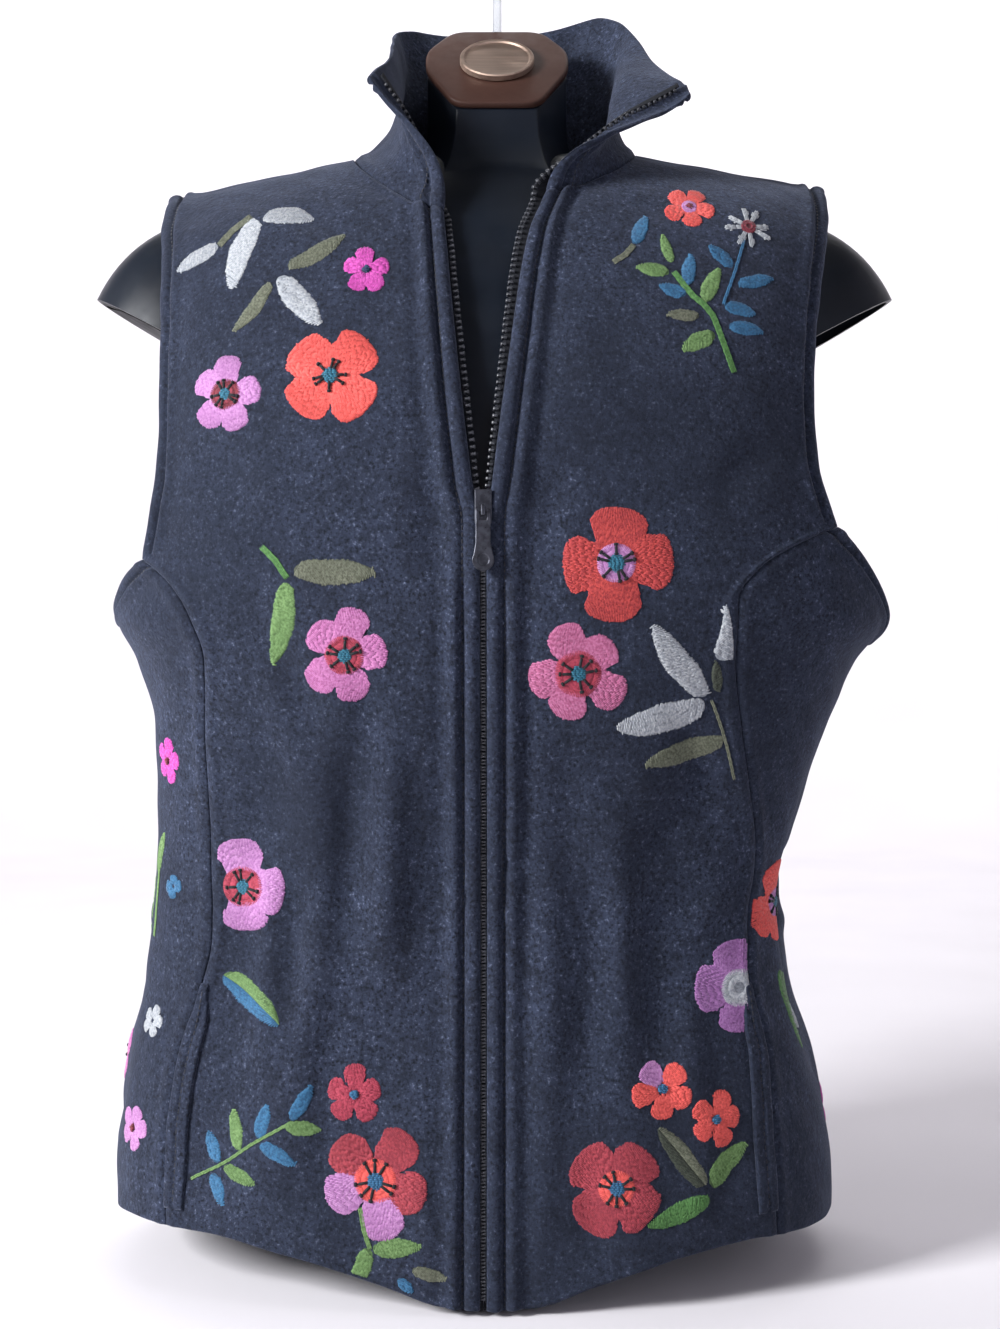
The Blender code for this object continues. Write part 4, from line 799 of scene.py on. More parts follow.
# The two cloths meet at the middle of their thickness.
meet = (collar_normal[0] - cloth_out) * WALL / 2
collar_face = collar_face + meet * hump(up, 0, 0.007)[..., None]
ends = np.minimum(along, along[:, -1:] - along)
edge_away = up[-1:] - up
roll = roll_under(np.minimum(ends, np.minimum(up, edge_away)))
ripple = unevenness(collar_face) * 1.5
rise = folded_edge(ends) + 0.7 * folded_edge(edge_away * 1.6) + seam_edge(up) + ripple
collar_outer = collar_face + collar_normal * (rise + roll)[..., None]
collar_inner = collar_face - collar_normal * (WALL + roll - 0.6 * folded_edge(ends) - ripple * 0.4)[..., None]
collar = wall("wool_collar", collar_outer, collar_inner)

# %% [markdown]
# ## Materials
#
# Colours are written as sRGB hex and turned into the linear values that shaders take. Each material mixes its
# colour from noise in the object's own coordinates, so it looks the same from every side. A scale of 500 repeats
# about every 2 mm.


# %% One way to add a node
def linear(hex_colour):
    channels = [int(hex_colour[i : i + 2], 16) / 255 for i in (1, 3, 5)]
    return [c / 12.92 if c <= 0.04045 else ((c + 0.055) / 1.055) ** 2.4 for c in channels] + [1.0]


def link(tree, node, inputs):
    """Gives a node's inputs, by name or number, a value, a hex colour or the output of another node."""
    for key, value in inputs.items():
        socket = node.inputs[key.replace("_", " ") if isinstance(key, str) else key]
        if isinstance(value, bpy.types.NodeSocket):
            tree.links.new(value, socket)
        else:
            socket.default_value = linear(value) if isinstance(value, str) and value[0] == "#" else value


def add_node(tree, kind, numbered=(), stops=(), **settings):
    """A new node's outputs. Settings in small letters are the node's own, and the others are its inputs."""
    node = tree.nodes.new(kind)
    for key in [key for key in settings if key.islower()]:
        setattr(node, key, settings.pop(key))
    link(tree, node, {**dict(numbered), **settings})
    if stops:
        elements = node.color_ramp.elements
        while len(elements) < len(stops):
            elements.new(0.5)
        for element, (position, colour) in zip(elements, stops):
            element.position, element.color = position, linear(colour)
    return node.outputs


class Finish:
    """A material under way: its tree, and the object's own coordinates as a start for every pattern."""

    def __init__(self, name, **settings):
        self.material = bpy.data.materials.new(name)
        self.material.use_nodes = True
        self.tree = self.material.node_tree
        self.place = self.add("TexCoord", output="Object")
        self.done(**settings)

    def add(self, kind, numbered=(), output=0, **settings):
        return add_node(self.tree, "ShaderNode" + kind, numbered, **settings)[output]

    def done(self, **inputs):
        link(self.tree, self.tree.nodes["Principled BSDF"], inputs)
        return self.material


# %% [markdown]
# Felted wool is dull, because its fibres lie every way: a rough surface with a sheen that shows at grazing angles.
# Its heathered colour is made of dyed fibres in three tones, and broader noise darkens it in tufts and patches.
# The fibres are drawn about 2 mm long, coarser than real ones, so that they still show from a metre away.
#
# Embroidery yarn is wool too, but spun and lying side by side, so it shines a little more. A fine noise stands
# for its twist, and a wide one for the dye, which never takes quite evenly.

# %% Felted wool and yarn
def felted_wool(name, dark, mid, light, deep):
    felt = Finish(name, Roughness=0.95, Sheen_Weight=0.3, Sheen_Roughness=0.42, Sheen_Tint="#9AA3BC",
                  Specular_IOR_Level=0.2)
    fibres, tufts, patches, broad = (
        felt.add("TexNoise", Vector=felt.place, Scale=scale, Detail=detail, Roughness=rough)
        for scale, detail, rough in ((520.0, 5.0, 0.66), (190.0, 5.0, 0.65), (38.0, 4.0, 0.6), (7.0, 2.0, 0.5))
    )
    tone = felt.add("ValToRGB", Fac=fibres, stops=((0.36, dark), (0.49, mid), (0.58, mid), (0.77, light)))
    for pattern, low, high, most, shade in (
        (tufts, 0.41, 0.64, 0.55, dark), (patches, 0.38, 0.68, 0.4, dark), (broad, 0.38, 0.64, 0.55, deep)
    ):
        share = felt.add("MapRange", Value=pattern, From_Min=low, From_Max=high, To_Max=most)
        tone = felt.add("Mix", {0: share, 6: tone, 7: shade}, 2, data_type="RGBA")
    nap = felt.add("Bump", Height=tufts, Strength=0.5, Distance=0.0013)
    nap = felt.add("Bump", Height=fibres, Strength=0.6, Distance=0.0008, Normal=nap)
    return felt.done(Base_Color=tone, Normal=nap)


def yarn(name, colour, shade):
    made = Finish(name, Roughness=0.72, Sheen_Weight=0.25, Sheen_Roughness=0.4, Specular_IOR_Level=0.3)
    dye, patch, twist = (
        made.add("TexNoise", Vector=made.place, Scale=scale, Detail=detail, Roughness=rough)
        for scale, detail, rough in ((760.0, 2.0, 0.6), (60.0, 3.0, 0.55), (1500.0, 2.0, 0.6))
    )
    dyed = made.add("MapRange", Value=dye, From_Min=0.4, From_Max=0.6)
    patched = made.add("MapRange", Value=patch, From_Min=0.4, From_Max=0.66, To_Max=0.45)
    tone = made.add("Mix", {0: dyed, 6: shade, 7: colour}, 2, data_type="RGBA")
    tone = made.add("Mix", {0: patched, 6: tone, 7: shade}, 2, data_type="RGBA")
    return made.done(Base_Color=tone, Normal=made.add("Bump", Height=twist, Strength=0.5, Distance=0.0004))


WOOL = felted_wool("felted_wool_cloth", "#0F121A", "#2D3446", "#737C94", "#171C28")
THREAD = yarn("wool_thread", "#2C2E36", "#191B20")
DYES = {  # three tones each: the yarn takes the first two, and the padding the last two, the darker ones, as painted shade between the threads
    "white": "#ADB0B3 #888D93 #6A6F76", "coral": "#DD5D56 #BB4541 #822C2C", "deepcoral": "#B84440 #923033 #6A2026",
    "red": "#A13D47 #7D2A36 #5A1C26", "rose": "#A73D4F #842A3C #5F1C2A", "maroon": "#802F3C #5B1D29 #40131C",
    "lilac": "#B584B2 #9B679A #754774", "pink": "#BB79A8 #9E5A8B #763D65", "rosepink": "#BA7196 #9C5074 #733652",
    "magenta": "#C652A9 #A23688 #732460", "violet": "#A174A7 #85558C #5F3B65", "olive": "#6C6F5F #4E5243 #373A30",
    "darkolive": "#40463B #2C3129 #20241C", "leafgreen": "#6C8A56 #4F6C3D #354B29",
    "green": "#538046 #3B6131 #284521", "blue": "#35698E #244F6F #183850", "teal": "#307188 #205468 #163C4A",
    "navy": "#2A3E61 #1B2A44 #131D30", "black": "#14151C #0B0C11 #08080B",
}
YARNS = {name: yarn(f"yarn_{name}", *tones.split()[:2]) for name, tones in DYES.items()}
# The padding under the threads takes each yarn's two darker tones: painted shade that shows as dark lines between the
# threads.
SHADED_PADS = {name: yarn(f"shaded_padding_{name}", *tones.split()[1:]) for name, tones in DYES.items()}

# %% [markdown]
# The hard pieces are moulded plastic or metal. A moulded face is never quite even: two close tones, an uneven
# gloss and a faint grain keep it from looking like a computer's. Acetal teeth are satin; gunmetal plating on zinc
# is a dark, half-worn metal; the form's polystyrene is glossy, and the neck plate's brown cap a little duller. The
# hook is clear plastic with an IOR of 1.49, as acrylic has.

# %% Plastics and metals
def hard(name, colour, other, roughness, scale, grain=0.12, **settings):
    made = Finish(name, **settings)
    tones, gloss, grains = (
        made.add("TexNoise", Vector=made.place, Scale=scale * finer, Detail=detail, Roughness=rough)
        for finer, detail, rough in ((1, 3.0, 0.55), (2.3, 4.0, 0.65), (5.0, 2.0, 0.55))
    )
    share = made.add("MapRange", Value=tones, From_Min=0.4, From_Max=0.65)
    return made.done(
        Base_Color=made.add("Mix", {0: share, 6: colour, 7: other}, 2, data_type="RGBA"),
        Roughness=made.add("MapRange", Value=gloss, From_Min=0.3, From_Max=0.75, To_Min=roughness * 0.75,
                           To_Max=roughness * 1.4),
        Normal=made.add("Bump", Height=grains, Strength=grain, Distance=0.0003),
    )


TEETH = hard("moulded_teeth", "#3A3C42", "#26282D", 0.4, 300.0, Specular_IOR_Level=0.5)
GUNMETAL = hard("gunmetal", "#4A4C54", "#34363D", 0.34, 240.0, 0.05, Metallic=0.85)
GLOSS = hard("glossy_black_plastic", "#0F131A", "#131820", 0.36, 18.0, 0.02, Specular_IOR_Level=0.16)
BROWN = hard("satin_brown_plastic", "#3F2922", "#38241E", 0.48, 22.0, 0.04, Specular_IOR_Level=0.2)
CLEAR = hard("clear_plastic", "#DDE2E4", "#CCD3D6", 0.1, 60.0, Transmission_Weight=0.92, IOR=1.49)

# %% [markdown]
# The zip's tape is woven polyester: ribs across it, about 0.75 mm apart, which is close to a real tape's. The disc
# is brushed metal: the noise is stretched along one axis, so the scratches run one way.

# %% Woven tape and brushed metal
woven = Finish("woven_tape", Roughness=0.9, Specular_IOR_Level=0.2)
ribs = woven.add("TexWave", output="Fac", Vector=woven.place, Scale=420.0, Distortion=0.6, bands_direction="Z")
TAPE = woven.done(
    Base_Color=woven.add("ValToRGB", Fac=ribs, stops=((0.2, "#0F1014"), (0.8, "#24262C"))),
    Normal=woven.add("Bump", Height=ribs, Strength=0.5, Distance=0.0005),
)
brushed = Finish("brushed_silver", Metallic=1.0, Anisotropic=0.4)
stretched = brushed.add("Mapping", Vector=brushed.place, Scale=(0.25, 9.0, 9.0))
streaks = brushed.add("TexNoise", Vector=stretched, Scale=90.0, Detail=5.0, Roughness=0.7)
SILVER = brushed.done(
    Base_Color=brushed.add("ValToRGB", Fac=streaks, stops=((0.3, "#8E7C70"), (0.7, "#B49C8D"))),
    Roughness=brushed.add("MapRange", Value=streaks, From_Min=0.3, From_Max=0.7, To_Min=0.4, To_Max=0.58),
    Normal=brushed.add("Bump", Height=streaks, Strength=0.15, Distance=0.0003),
)
print(len(bpy.data.materials), "materials")

# %% [markdown]
# ## Sewing
#
# Stitches and zip teeth are small things repeated hundreds of times along lines. An array modifier could only
# space them evenly, so one Geometry Nodes group lays a template on every point, turned and scaled by the point's
# own attributes, and makes it all real.


# %% The node group that lays pieces in place
def laying_group():
    group = bpy.data.node_groups.new("lay_in_place", "GeometryNodeTree")
    for name, kind, way in (("Spots", "Geometry", "INPUT"), ("Template", "Object", "INPUT"),
                            ("Finish", "Material", "INPUT"), ("Laid", "Geometry", "OUTPUT")):
        group.interface.new_socket(name, in_out=way, socket_type="NodeSocket" + kind)

    given = add_node(group, "NodeGroupInput")
    points = add_node(group, "GeometryNodeMeshToPoints", Mesh=given["Spots"])["Points"]
    piece = add_node(group, "GeometryNodeObjectInfo", Object=given["Template"])["Geometry"]
    turn, size = (
        add_node(group, "GeometryNodeInputNamedAttribute", Name=name, data_type=kind)["Attribute"]
        for name, kind in (("turn", "QUATERNION"), ("size", "FLOAT_VECTOR"))
    )
    lay = add_node(group, "GeometryNodeInstanceOnPoints", Points=points, Instance=piece, Rotation=turn, Scale=size)
    real = add_node(group, "GeometryNodeRealizeInstances", Geometry=lay["Instances"])["Geometry"]
    done = add_node(group, "GeometryNodeSetMaterial", Geometry=real, Material=given["Finish"])["Geometry"]
    add_node(group, "NodeGroupOutput", Laid=done)
    return group


LAYING = laying_group()


def finished_mesh(source):
    """The mesh that an object's modifiers or its curve's thickness make. The object itself goes."""
    mesh = bpy.data.meshes.new_from_object(source.evaluated_get(bpy.context.evaluated_depsgraph_get()))
    bpy.data.objects.remove(source)
    return mesh


def ringed(name, rings):
    """A closed mesh through rings of points; the first and the last ring are single points."""
    starts = np.cumsum([0] + [len(ring) for ring in rings])
    faces = []
    for low, high, a, b in zip(starts, starts[1:], rings, rings[1:]):
        for i in range(max(len(a), len(b))):
            j = (i + 1) % max(len(a), len(b))
            if len(a) == 1:
                faces.append((low, high + i, high + j))
            elif len(b) == 1:
                faces.append((low + i, low + j, high))
            else:
                faces.append((low + i, low + j, high + j, high + i))
    return outwards(mesh_object(name, [point for ring in rings for point in ring], faces))


def thread_template():
    """One stitch, a unit long and wide: the upper half of a thread that dips into the cloth at both ends."""
    half_round = [(0.5 * cos(a), 0.5 * sin(a)) for a in np.radians([0, 60, 120, 180])]
    middle = [(along, y, z) for along in (-0.34, 0.34) for y, z in half_round]
    points = [(-0.5, 0, -0.3), *middle, (0.5, 0, -0.3)]
    faces = []
    for k in (1, 2, 3):
        faces += [(0, k + 1, k), (k, k + 1, k + 5, k + 4), (9, k + 4, k + 5)]
    return mesh_object("thread_template", points, faces)


def laid(name, spots, template, finish):
    """Lays the template on spots: (point, way along, way out, (length, width, height))."""
    cloud = bpy.data.meshes.new(name + "_spots")
    cloud.from_pydata([tuple(spot[0]) for spot in spots], [], [])
    turns = []
    for _, way, out, _ in spots:
        x = Vector(way).normalized()
        y = Vector(out).cross(x).normalized()
        turns += list(Matrix((x, y, x.cross(y))).transposed().to_quaternion())
    cloud.attributes.new("turn", "QUATERNION", "POINT").data.foreach_set("value", turns)
    cloud.attributes.new("size", "FLOAT_VECTOR", "POINT").data.foreach_set(
        "vector", [value for spot in spots for value in spot[3]]
    )
    source = placed(name + "_spots", cloud)
    nodes = source.modifiers.new("lay in place", "NODES")
    nodes.node_group = LAYING
    sockets = {item.name: item.identifier for item in LAYING.interface.items_tree}
    nodes[sockets["Template"]], nodes[sockets["Finish"]] = template, finish
    mesh = finished_mesh(source)
    mesh.name = name
    for extra in {"turn", "size"} & set(mesh.attributes.keys()):
        mesh.attributes.remove(mesh.attributes[extra])
    mesh.shade_smooth()
    return placed(name, mesh)


def joined(name, objects):
    """Several objects as one, each keeping its material."""
    bpy.ops.object.select_all(action="DESELECT")
    for part in objects:
        part.select_set(True)
    bpy.context.view_layer.objects.active = objects[0]
    if len(objects) > 1:
        bpy.ops.object.join()
    made = bpy.context.view_layer.objects.active
    made.name = made.data.name = name
    return made


def painted(made, finish):
    made.data.materials.clear()
    made.data.materials.append(finish)
    return made


THREAD_SHAPE = thread_template()
for cloth in [panel["object"] for panel in panels.values()] + [collar]:
    painted(cloth, WOOL)


# %% [markdown]
# Lines of stitches hold down each folded edge: both sides of the zip, the armholes and the collar's front edges.
# They follow the panel's own grid lines, so they lie in the groove that the profile left for them.


# %% Topstitching
STITCH_PITCH, STITCH_WIDTH = 0.0036, 0.00085


def stitches_along(points, normals):
    """Stitches end to end along a line of points: the spots that laid() takes."""
    lengths = arc(points)
    count = int(lengths[-1] / STITCH_PITCH)
    pitch = lengths[-1] / count
    at = (np.arange(count) + 0.5) * pitch
    ahead, behind = (sampled(at + step, lengths, points) for step in (pitch * 0.4, -pitch * 0.4))
    return [
        (spot, way, out, (np.linalg.norm(way), STITCH_WIDTH, STITCH_WIDTH * 0.9))
        for spot, way, out in zip(sampled(at, lengths, points), ahead - behind, sampled(at, lengths, normals))
    ]


def line_at(face, axis, distance, from_start=True):
    """The line of a grid nearest to a distance from one edge."""
    lengths = arc(face, axis).mean(axis=1 - axis)
    return int(np.abs((lengths if from_start else lengths[-1] - lengths) - distance).argmin())


def edge_stitches(panel, from_start, above=None):
    """Stitches up one edge of a panel, all the way or above a height on that edge."""
    column = line_at(panel["face"], 1, STITCH_IN, from_start)
    rows = slice(2, -2)
    if above is not None:
        rows = np.nonzero(panel["outer"][:, 0 if from_start else -1, 2] > above + 0.004)[0]
    return stitches_along(panel["outer"][rows, column], panel["normal"][rows, column])


stitch_spots = {}
for side, side_name in SIDE_NAMES.items():
    front, flank = panels[f"front_{side_name}"], panels[f"side_{side_name}"]
    stitch_spots[f"front_{side_name}"] = (
        edge_stitches(front, True) + edge_stitches(front, False, FRONT_ARMHOLE[side][0][0])
    )
    row = line_at(flank["face"], 0, STITCH_IN, False)
    stitch_spots[f"side_{side_name}"] = stitches_along(flank["outer"][row, 2:-2], flank["normal"][row, 2:-2])
stitch_spots["back"] = (
    edge_stitches(panels["back"], True, BACK_ARMHOLE[LEFT][0][0])
    + edge_stitches(panels["back"], False, BACK_ARMHOLE[RIGHT][0][0])
)
stitch_spots["collar"] = []
for from_start in (True, False):
    column = line_at(collar_face, 1, STITCH_IN, from_start)
    stitch_spots["collar"] += stitches_along(collar_outer[2:-4, column], collar_normal[2:-4, column])
topstitch = {name: laid(f"topstitch_{name}", spots, THREAD_SHAPE, THREAD) for name, spots in stitch_spots.items()}
print("topstitches:", sum(map(len, stitch_spots.values())))

# %% [markdown]
# Each front has a pocket in its seam. What shows of it is a narrow stitched lip that lies on the cloth beside the
# seam, so it is a thin wall over the same grid, not a texture.

# %% Pocket lips
LIP_THICKNESS = 0.0013
POCKET_TOP, POCKET_BOTTOM = 0.17, 0.046
FROM_SEAM = (0, .0005, .0012, .0024, .004, .0052, .006, .0066, .0072, .0084, .01, .0116, .0125, .013)
LIP_STITCHES = 7  # the column of FROM_SEAM that is sewn down
pockets = {}
for side_name in SIDE_NAMES.values():
    panel = panels[f"front_{side_name}"]
    heights = np.linspace(POCKET_BOTTOM, POCKET_TOP, 64)
    rows = np.nonzero(panel["face"][:, -1, 2] < 0.25)[0]
    lengths = arc(panel["face"], 1)
    from_end = (lengths[:, -1:] - lengths)[:, ::-1]
    columns = []
    for distance in FROM_SEAM:
        line, tilt = (
            np.stack([sampled(distance, from_end[row], values[row, ::-1]) for row in rows])
            for values in (panel["face"], panel["normal"])
        )
        columns.append([sampled(heights, line[:, 2], values) for values in (line, tilt)])
    grid, out = (np.stack(values, axis=1) for values in zip(*columns))
    narrow = (0.42 + 0.58 * (1 - smooth_step(POCKET_TOP - 0.03, POCKET_TOP, heights)))[:, None, None]
    grid = grid[:, :1] + (grid - grid[:, :1]) * narrow
    across, up = arc(grid, 1), arc(grid, 0)
    inside = np.minimum.reduce([across, across[:, -1:] - across, up, up[-1:] - up])
    roundness = 1 - np.clip(1 - inside / (LIP_THICKNESS * 0.7), 0, 1) ** 2
    thick = LIP_THICKNESS * (0.3 + 1.25 * np.sqrt(roundness)) - 0.001 * hump(across, 0.0066, 0.0012)
    low = grid + out * (SEAM_GAP * 1.3 + seam_edge(across) * 0.5)[..., None]
    high = low + out * thick[..., None]
    lip = painted(wall(f"pocket_lip_{side_name}", high, low), WOOL)
    row = stitches_along(high[2:-2, LIP_STITCHES], out[2:-2, LIP_STITCHES])
    sewn = laid(f"pocket_stitches_{side_name}", row, THREAD_SHAPE, THREAD)
    pockets[side_name] = joined(f"pocket_lip_{side_name}", [lip, sewn])
    print(f"pocket lip {side_name}: {len(pockets[side_name].data.polygons)} faces")

# %% [markdown]
# ## Zip
#
# A tape lies behind each front's folded edge and runs on up the collar. Its moulded teeth stand on its free edge:
# closed below the slider, where the two rows mesh half a pitch apart, and open above it.


# %% Zip tapes and teeth
TOOTH_PITCH = 0.0038
TOOTH_SIZE = (0.0023, 0.0032, 0.0026)
TAPE_THICKNESS = 0.001
TUCK_NEAR, TUCK_FAR = 0.0105, 0.0165  # how far the tape reaches under the cloth, on the front and up the collar
COLLAR_CLEARANCE = 0.0014
TAPE_TURNS_IN = {LEFT: 0.617, RIGHT: 0.596}  # above here the collar's edge laps over the teeth


def tape_lines(side):
    """The tape from its tucked edge to the cloth's edge, up the front and then the collar."""
    panel = panels[f"front_{SIDE_NAMES[side]}"]
    column = 0 if side == RIGHT else -1
    tuck_front = line_at(panel["face"], 1, TUCK_NEAR)
    tuck_near, tuck_far = (line_at(collar_face, 1, tuck, side == RIGHT) for tuck in (TUCK_NEAR, TUCK_FAR))
    upwards = smooth_step(0.05, 0.4, np.linspace(0, 1, len(collar_face)))[:, None]

    def along(on_front, on_collar):
        return np.concatenate([on_front[:-3], on_collar[4:-5]])

    normal = unit(along(panel["normal"][:, 0], collar_normal[:, column]))
    tuck_normal = unit(along(panel["normal"][:, tuck_front], collar_normal[:, tuck_far]))
    seam = len(panel["normal"]) - 3
    clearance = np.interp(np.arange(len(normal)), [seam - 22, seam], [SEAM_GAP * 1.3, COLLAR_CLEARANCE])
    behind = (WALL + clearance)[:, None]
    under = along(panel["face"][:, 0], collar_face[:, column]) - normal * behind
    on_collar = collar_face[:, tuck_near] * (1 - upwards) + collar_face[:, tuck_far] * upwards
    tuck = along(panel["face"][:, tuck_front], on_collar) - tuck_normal * behind
    shown = read(OPENING[side], 2, under[:, 2])
    onto_collar = smooth_step(TAPE_TURNS_IN[side], TAPE_TURNS_IN[side] + 0.022, under[:, 2])
    shown = shown + (-TUCK_NEAR - shown) * onto_collar
    return tuck, under, unit(under - tuck), normal, tuck_normal, shown[:, None]


def tooth_template():
    """One moulded tooth, a unit in each size: a waisted block with a rounded head towards +Y."""
    outline = ((-0.5, -0.34), (-0.1, -0.3), (0.1, -0.22), (0.3, -0.44), (0.44, -0.4), (0.5, -0.18))
    outline = [(x, y) for y, x in outline] + [(-x, y) for y, x in reversed(outline)]
    levels = ((-0.5, 0.9), (-0.32, 1.0), (0.3, 1.0), (0.5, 0.78))
    rings = [[(x * grow, y * grow, z) for x, y in outline] for z, grow in levels]
    return ringed("tooth_template", [[(0, 0, -0.5)], *rings, [(0, 0, 0.5)]])


TOOTH_SHAPE = tooth_template()
tapes, teeth = {}, {}
for side, side_name in SIDE_NAMES.items():
    tuck, under, across, normal, tuck_normal, shown = tape_lines(side)
    tip = under + across * shown
    base = np.stack([tuck + (tip - tuck) * share for share in (0.0, 0.3, 0.6, 0.85, 1.0)], axis=1)
    spread = np.stack([tuck_normal] + [normal] * 4, axis=1)
    tapes[side_name] = painted(wall(f"zip_tape_cloth_{side_name}", base, base - spread * TAPE_THICKNESS), TAPE)
    edge = under + across * (shown - 0.0009)
    lengths = arc(edge)
    at = np.arange(0.006 + (TOOTH_PITCH / 2 if side == LEFT else 0.0), lengths[-1] - 0.003, TOOTH_PITCH)
    spots = []
    lines = (edge, across, normal, np.gradient(edge, axis=0))
    for p, w, n, a in zip(*(sampled(at, lengths, values) for values in lines)):
        if abs(p[2] - SLIDER_Z) > 0.0085 or abs(p[0] - ZIP_X) > 0.006:  # the slider hides the teeth inside it
            closed = 0.0011 if p[2] < SLIDER_Z else 0.0006
            spots.append((p + w * closed + n * 0.0004, a * side, n, TOOTH_SIZE))
    teeth[side_name] = laid(f"zip_teeth_{side_name}", spots, TOOTH_SHAPE, TEETH)
    print(f"zip {side_name}: {len(spots)} teeth")

# %% [markdown]
# The pull tab was cast flat, with soft edges, a slot at its hinge and a shallow round dimple near its round end.
# A 2D curve fills its outline, cuts the holes and rounds the edges in one step.

# %% Slider and pull tab
PULL_THICKNESS, PULL_WIDTH, PULL_END_RADIUS, PULL_LENGTH = 0.0014, 0.008, 0.0058, 0.032
PULL_WINDOW_WIDTH, PULL_WINDOW_REACH = 0.004, 0.0052
ROUNDING, DIMPLE = 0.0004, 0.003


def mirrored(outline):
    """The right half of an outline, from the top down, and then its left half."""
    return [*outline, *((-x, y) for x, y in reversed(outline))]


def circle(radius, degrees, middle=0.0):
    return [(radius * cos(a), middle + radius * sin(a)) for a in np.radians(degrees)]


def thickened(name, dimensions, lines, **settings):
    """The mesh of a curve through points: a flat outline with its holes, or a wire."""
    curve = bpy.data.curves.new(name, "CURVE")
    curve.dimensions = dimensions
    for key, value in settings.items():
        setattr(curve, key, value)
    for line in lines:
        spline = curve.splines.new("POLY")
        spline.points.add(len(line) - 1)
        spline.use_cyclic_u = dimensions == "2D"
        for point, spot in zip(spline.points, line):
            point.co = (*spot, 0.0, 1.0) if dimensions == "2D" else (*spot, 1.0)
    mesh = finished_mesh(placed(name, curve))
    mesh.shade_smooth()
    return mesh


def flat_piece(name, outlines, thickness, rounding):
    """A flat outline with its holes and rounded edges, facing the front at the hinge."""
    mesh = thickened(name, "2D", outlines, fill_mode="BOTH", extrude=thickness / 2 - rounding, bevel_depth=rounding,
                     bevel_resolution=2, offset=-rounding)
    mesh.transform(Matrix.Translation(hinge) @ Matrix.Rotation(radians(90), 4, "X"))
    mesh.set_sharp_from_angle(angle=radians(50))
    return placed(name, mesh)


half, centre = PULL_WIDTH / 2, -PULL_LENGTH + PULL_END_RADIUS
neck_z = -PULL_LENGTH + 2.6 * PULL_END_RADIUS
outline = [(-half, neck_z), (-half, 0.0003), (-half + 0.0005, PULL_THICKNESS / 2), (half - 0.0005, PULL_THICKNESS / 2),
           (half, 0.0003), (half, neck_z), *circle(PULL_END_RADIUS, np.linspace(30, -210, 37), centre)]
slot = [(x, z) for x, z in zip(np.array([-1, 1, 1, -1]) * PULL_WINDOW_WIDTH / 2,
                               np.repeat([-PULL_THICKNESS / 2, -PULL_WINDOW_REACH], 2))]
dimple = circle(DIMPLE, np.arange(0, 360, 12), centre)
dimple_floor = [(x * 1.1, centre + (z - centre) * 1.1) for x, z in dimple]
tab = flat_piece("tab", [outline, slot, dimple], PULL_THICKNESS, ROUNDING)
pull_tab = joined("pull_tab_shape", [tab, flat_piece("dimple", [dimple_floor], 0.0007, 0.0001)])
painted(pull_tab, GUNMETAL)
print("pull tab:", len(pull_tab.data.polygons), "faces")

# %% [markdown]
# ## Display form
#
# The form is a smooth, limbless torso of glossy black plastic, blown in one piece. Rings follow the body a little
# inside the cloth, and Boolean modifiers join the neck and the stubs of the arms and hollow these out, as their
# edges have to be crisp where sculpting would leave them soft.

# %% Sizes of the form
FORM = (
    (.194, .042), (.195, .038), (.186, .032), (.174, .026), (.169, .022), (.176, .019),
    (.185, .017), (.191, .015), (.193, .014), (.192, .013), (.189, .011), (.186, .009),
    (.186, .0075), (.187, .0066), (.188, .006), (.189, .0046), (.19, .003),
)
FORM_FOOT = ((0, .46, .62), (.006, .52, .68), (.018, .63, .77), (.036, .77, .87), (.058, .91, .96))
STUB_CENTRE, STUB_REACH = Vector((0.165, 0.0, 0.53)), Vector((0.0835, 0.048, 0.089))
STUB_WALL, STUB_HOLLOW_X = 0.0035, 0.16
RIM_TIP, RIM_SLOPE = Vector((0.24, 0.0, 0.569)), radians(29)
NECK_OUTLINE = ((.0235, -.0385), (.0415, -.0145), (.0415, .0005), (.027, .0165), (.011, .0285))
NECK_FLARE = ((.6, 1.8), (.628, 1.38), (.644, 1.15), (.658, 1.03), (.672, 1.0), (.8, 1.0))
NECK_X, NECK_TOP = 0.0015, 0.7385
PLATE_CENTRE, PLATE_SLOPE = Vector((NECK_X, -0.0115, 0.7061)), radians(47)
PLATE_THICKNESS = 0.0045
DISC_RADIUS, DISC_THICKNESS, DISC_UP = 0.0222, 0.004, 0.0023
HOOK_BEND, HOOK_STEM, HOOK_RADIUS = 0.019, 0.03, 0.0028
HOOK_FOOT = (NECK_X, 0.0255, NECK_TOP + SEAM_GAP)


# %% Build the form
def form_ring(level, angles):
    def rate(column):
        low, high = max(level - 0.05, 0.0), min(level + 0.05, TOP_LEVEL)
        return float(ring_value(column, high) - ring_value(column, low))

    keys = np.arange(len(FORM))
    half_width, ease = (float(smooth_track(keys, column, level)) for column in zip(*FORM))
    across, forward = superellipse(angles, float(ring_value("square", level)))
    points = []
    for column, sign in (("front", 1), ("back", -1)):
        slope = hypot(rate(column), rate("height"))
        outwards_share, up_share = rate("height") / slope, -rate(column) / slope
        depth = max(float(ring_value(column, level)) - ease * outwards_share, 0.0)
        x = across * (half_width - ease * outwards_share)
        points.append(np.stack([x, -forward * depth, height_at(x, level) - ease * up_share], axis=-1))
    return np.where((forward > 0)[:, None], points[0], points[1])


def loft(name, rings):
    """A closed solid through rings of equally many points."""
    cells = np.arange(sum(map(len, rings))).reshape(len(rings), -1)
    low, high = cells[:-1], cells[1:]
    quads = np.stack([low, np.roll(low, -1, 1), np.roll(high, -1, 1), high], axis=-1).reshape(-1, 4)
    made = mesh_object(name, np.concatenate(rings), [*quads, cells[0], cells[-1]])
    return worked(made, lambda tool: bmesh.ops.remove_doubles(tool, verts=tool.verts, dist=1e-5))


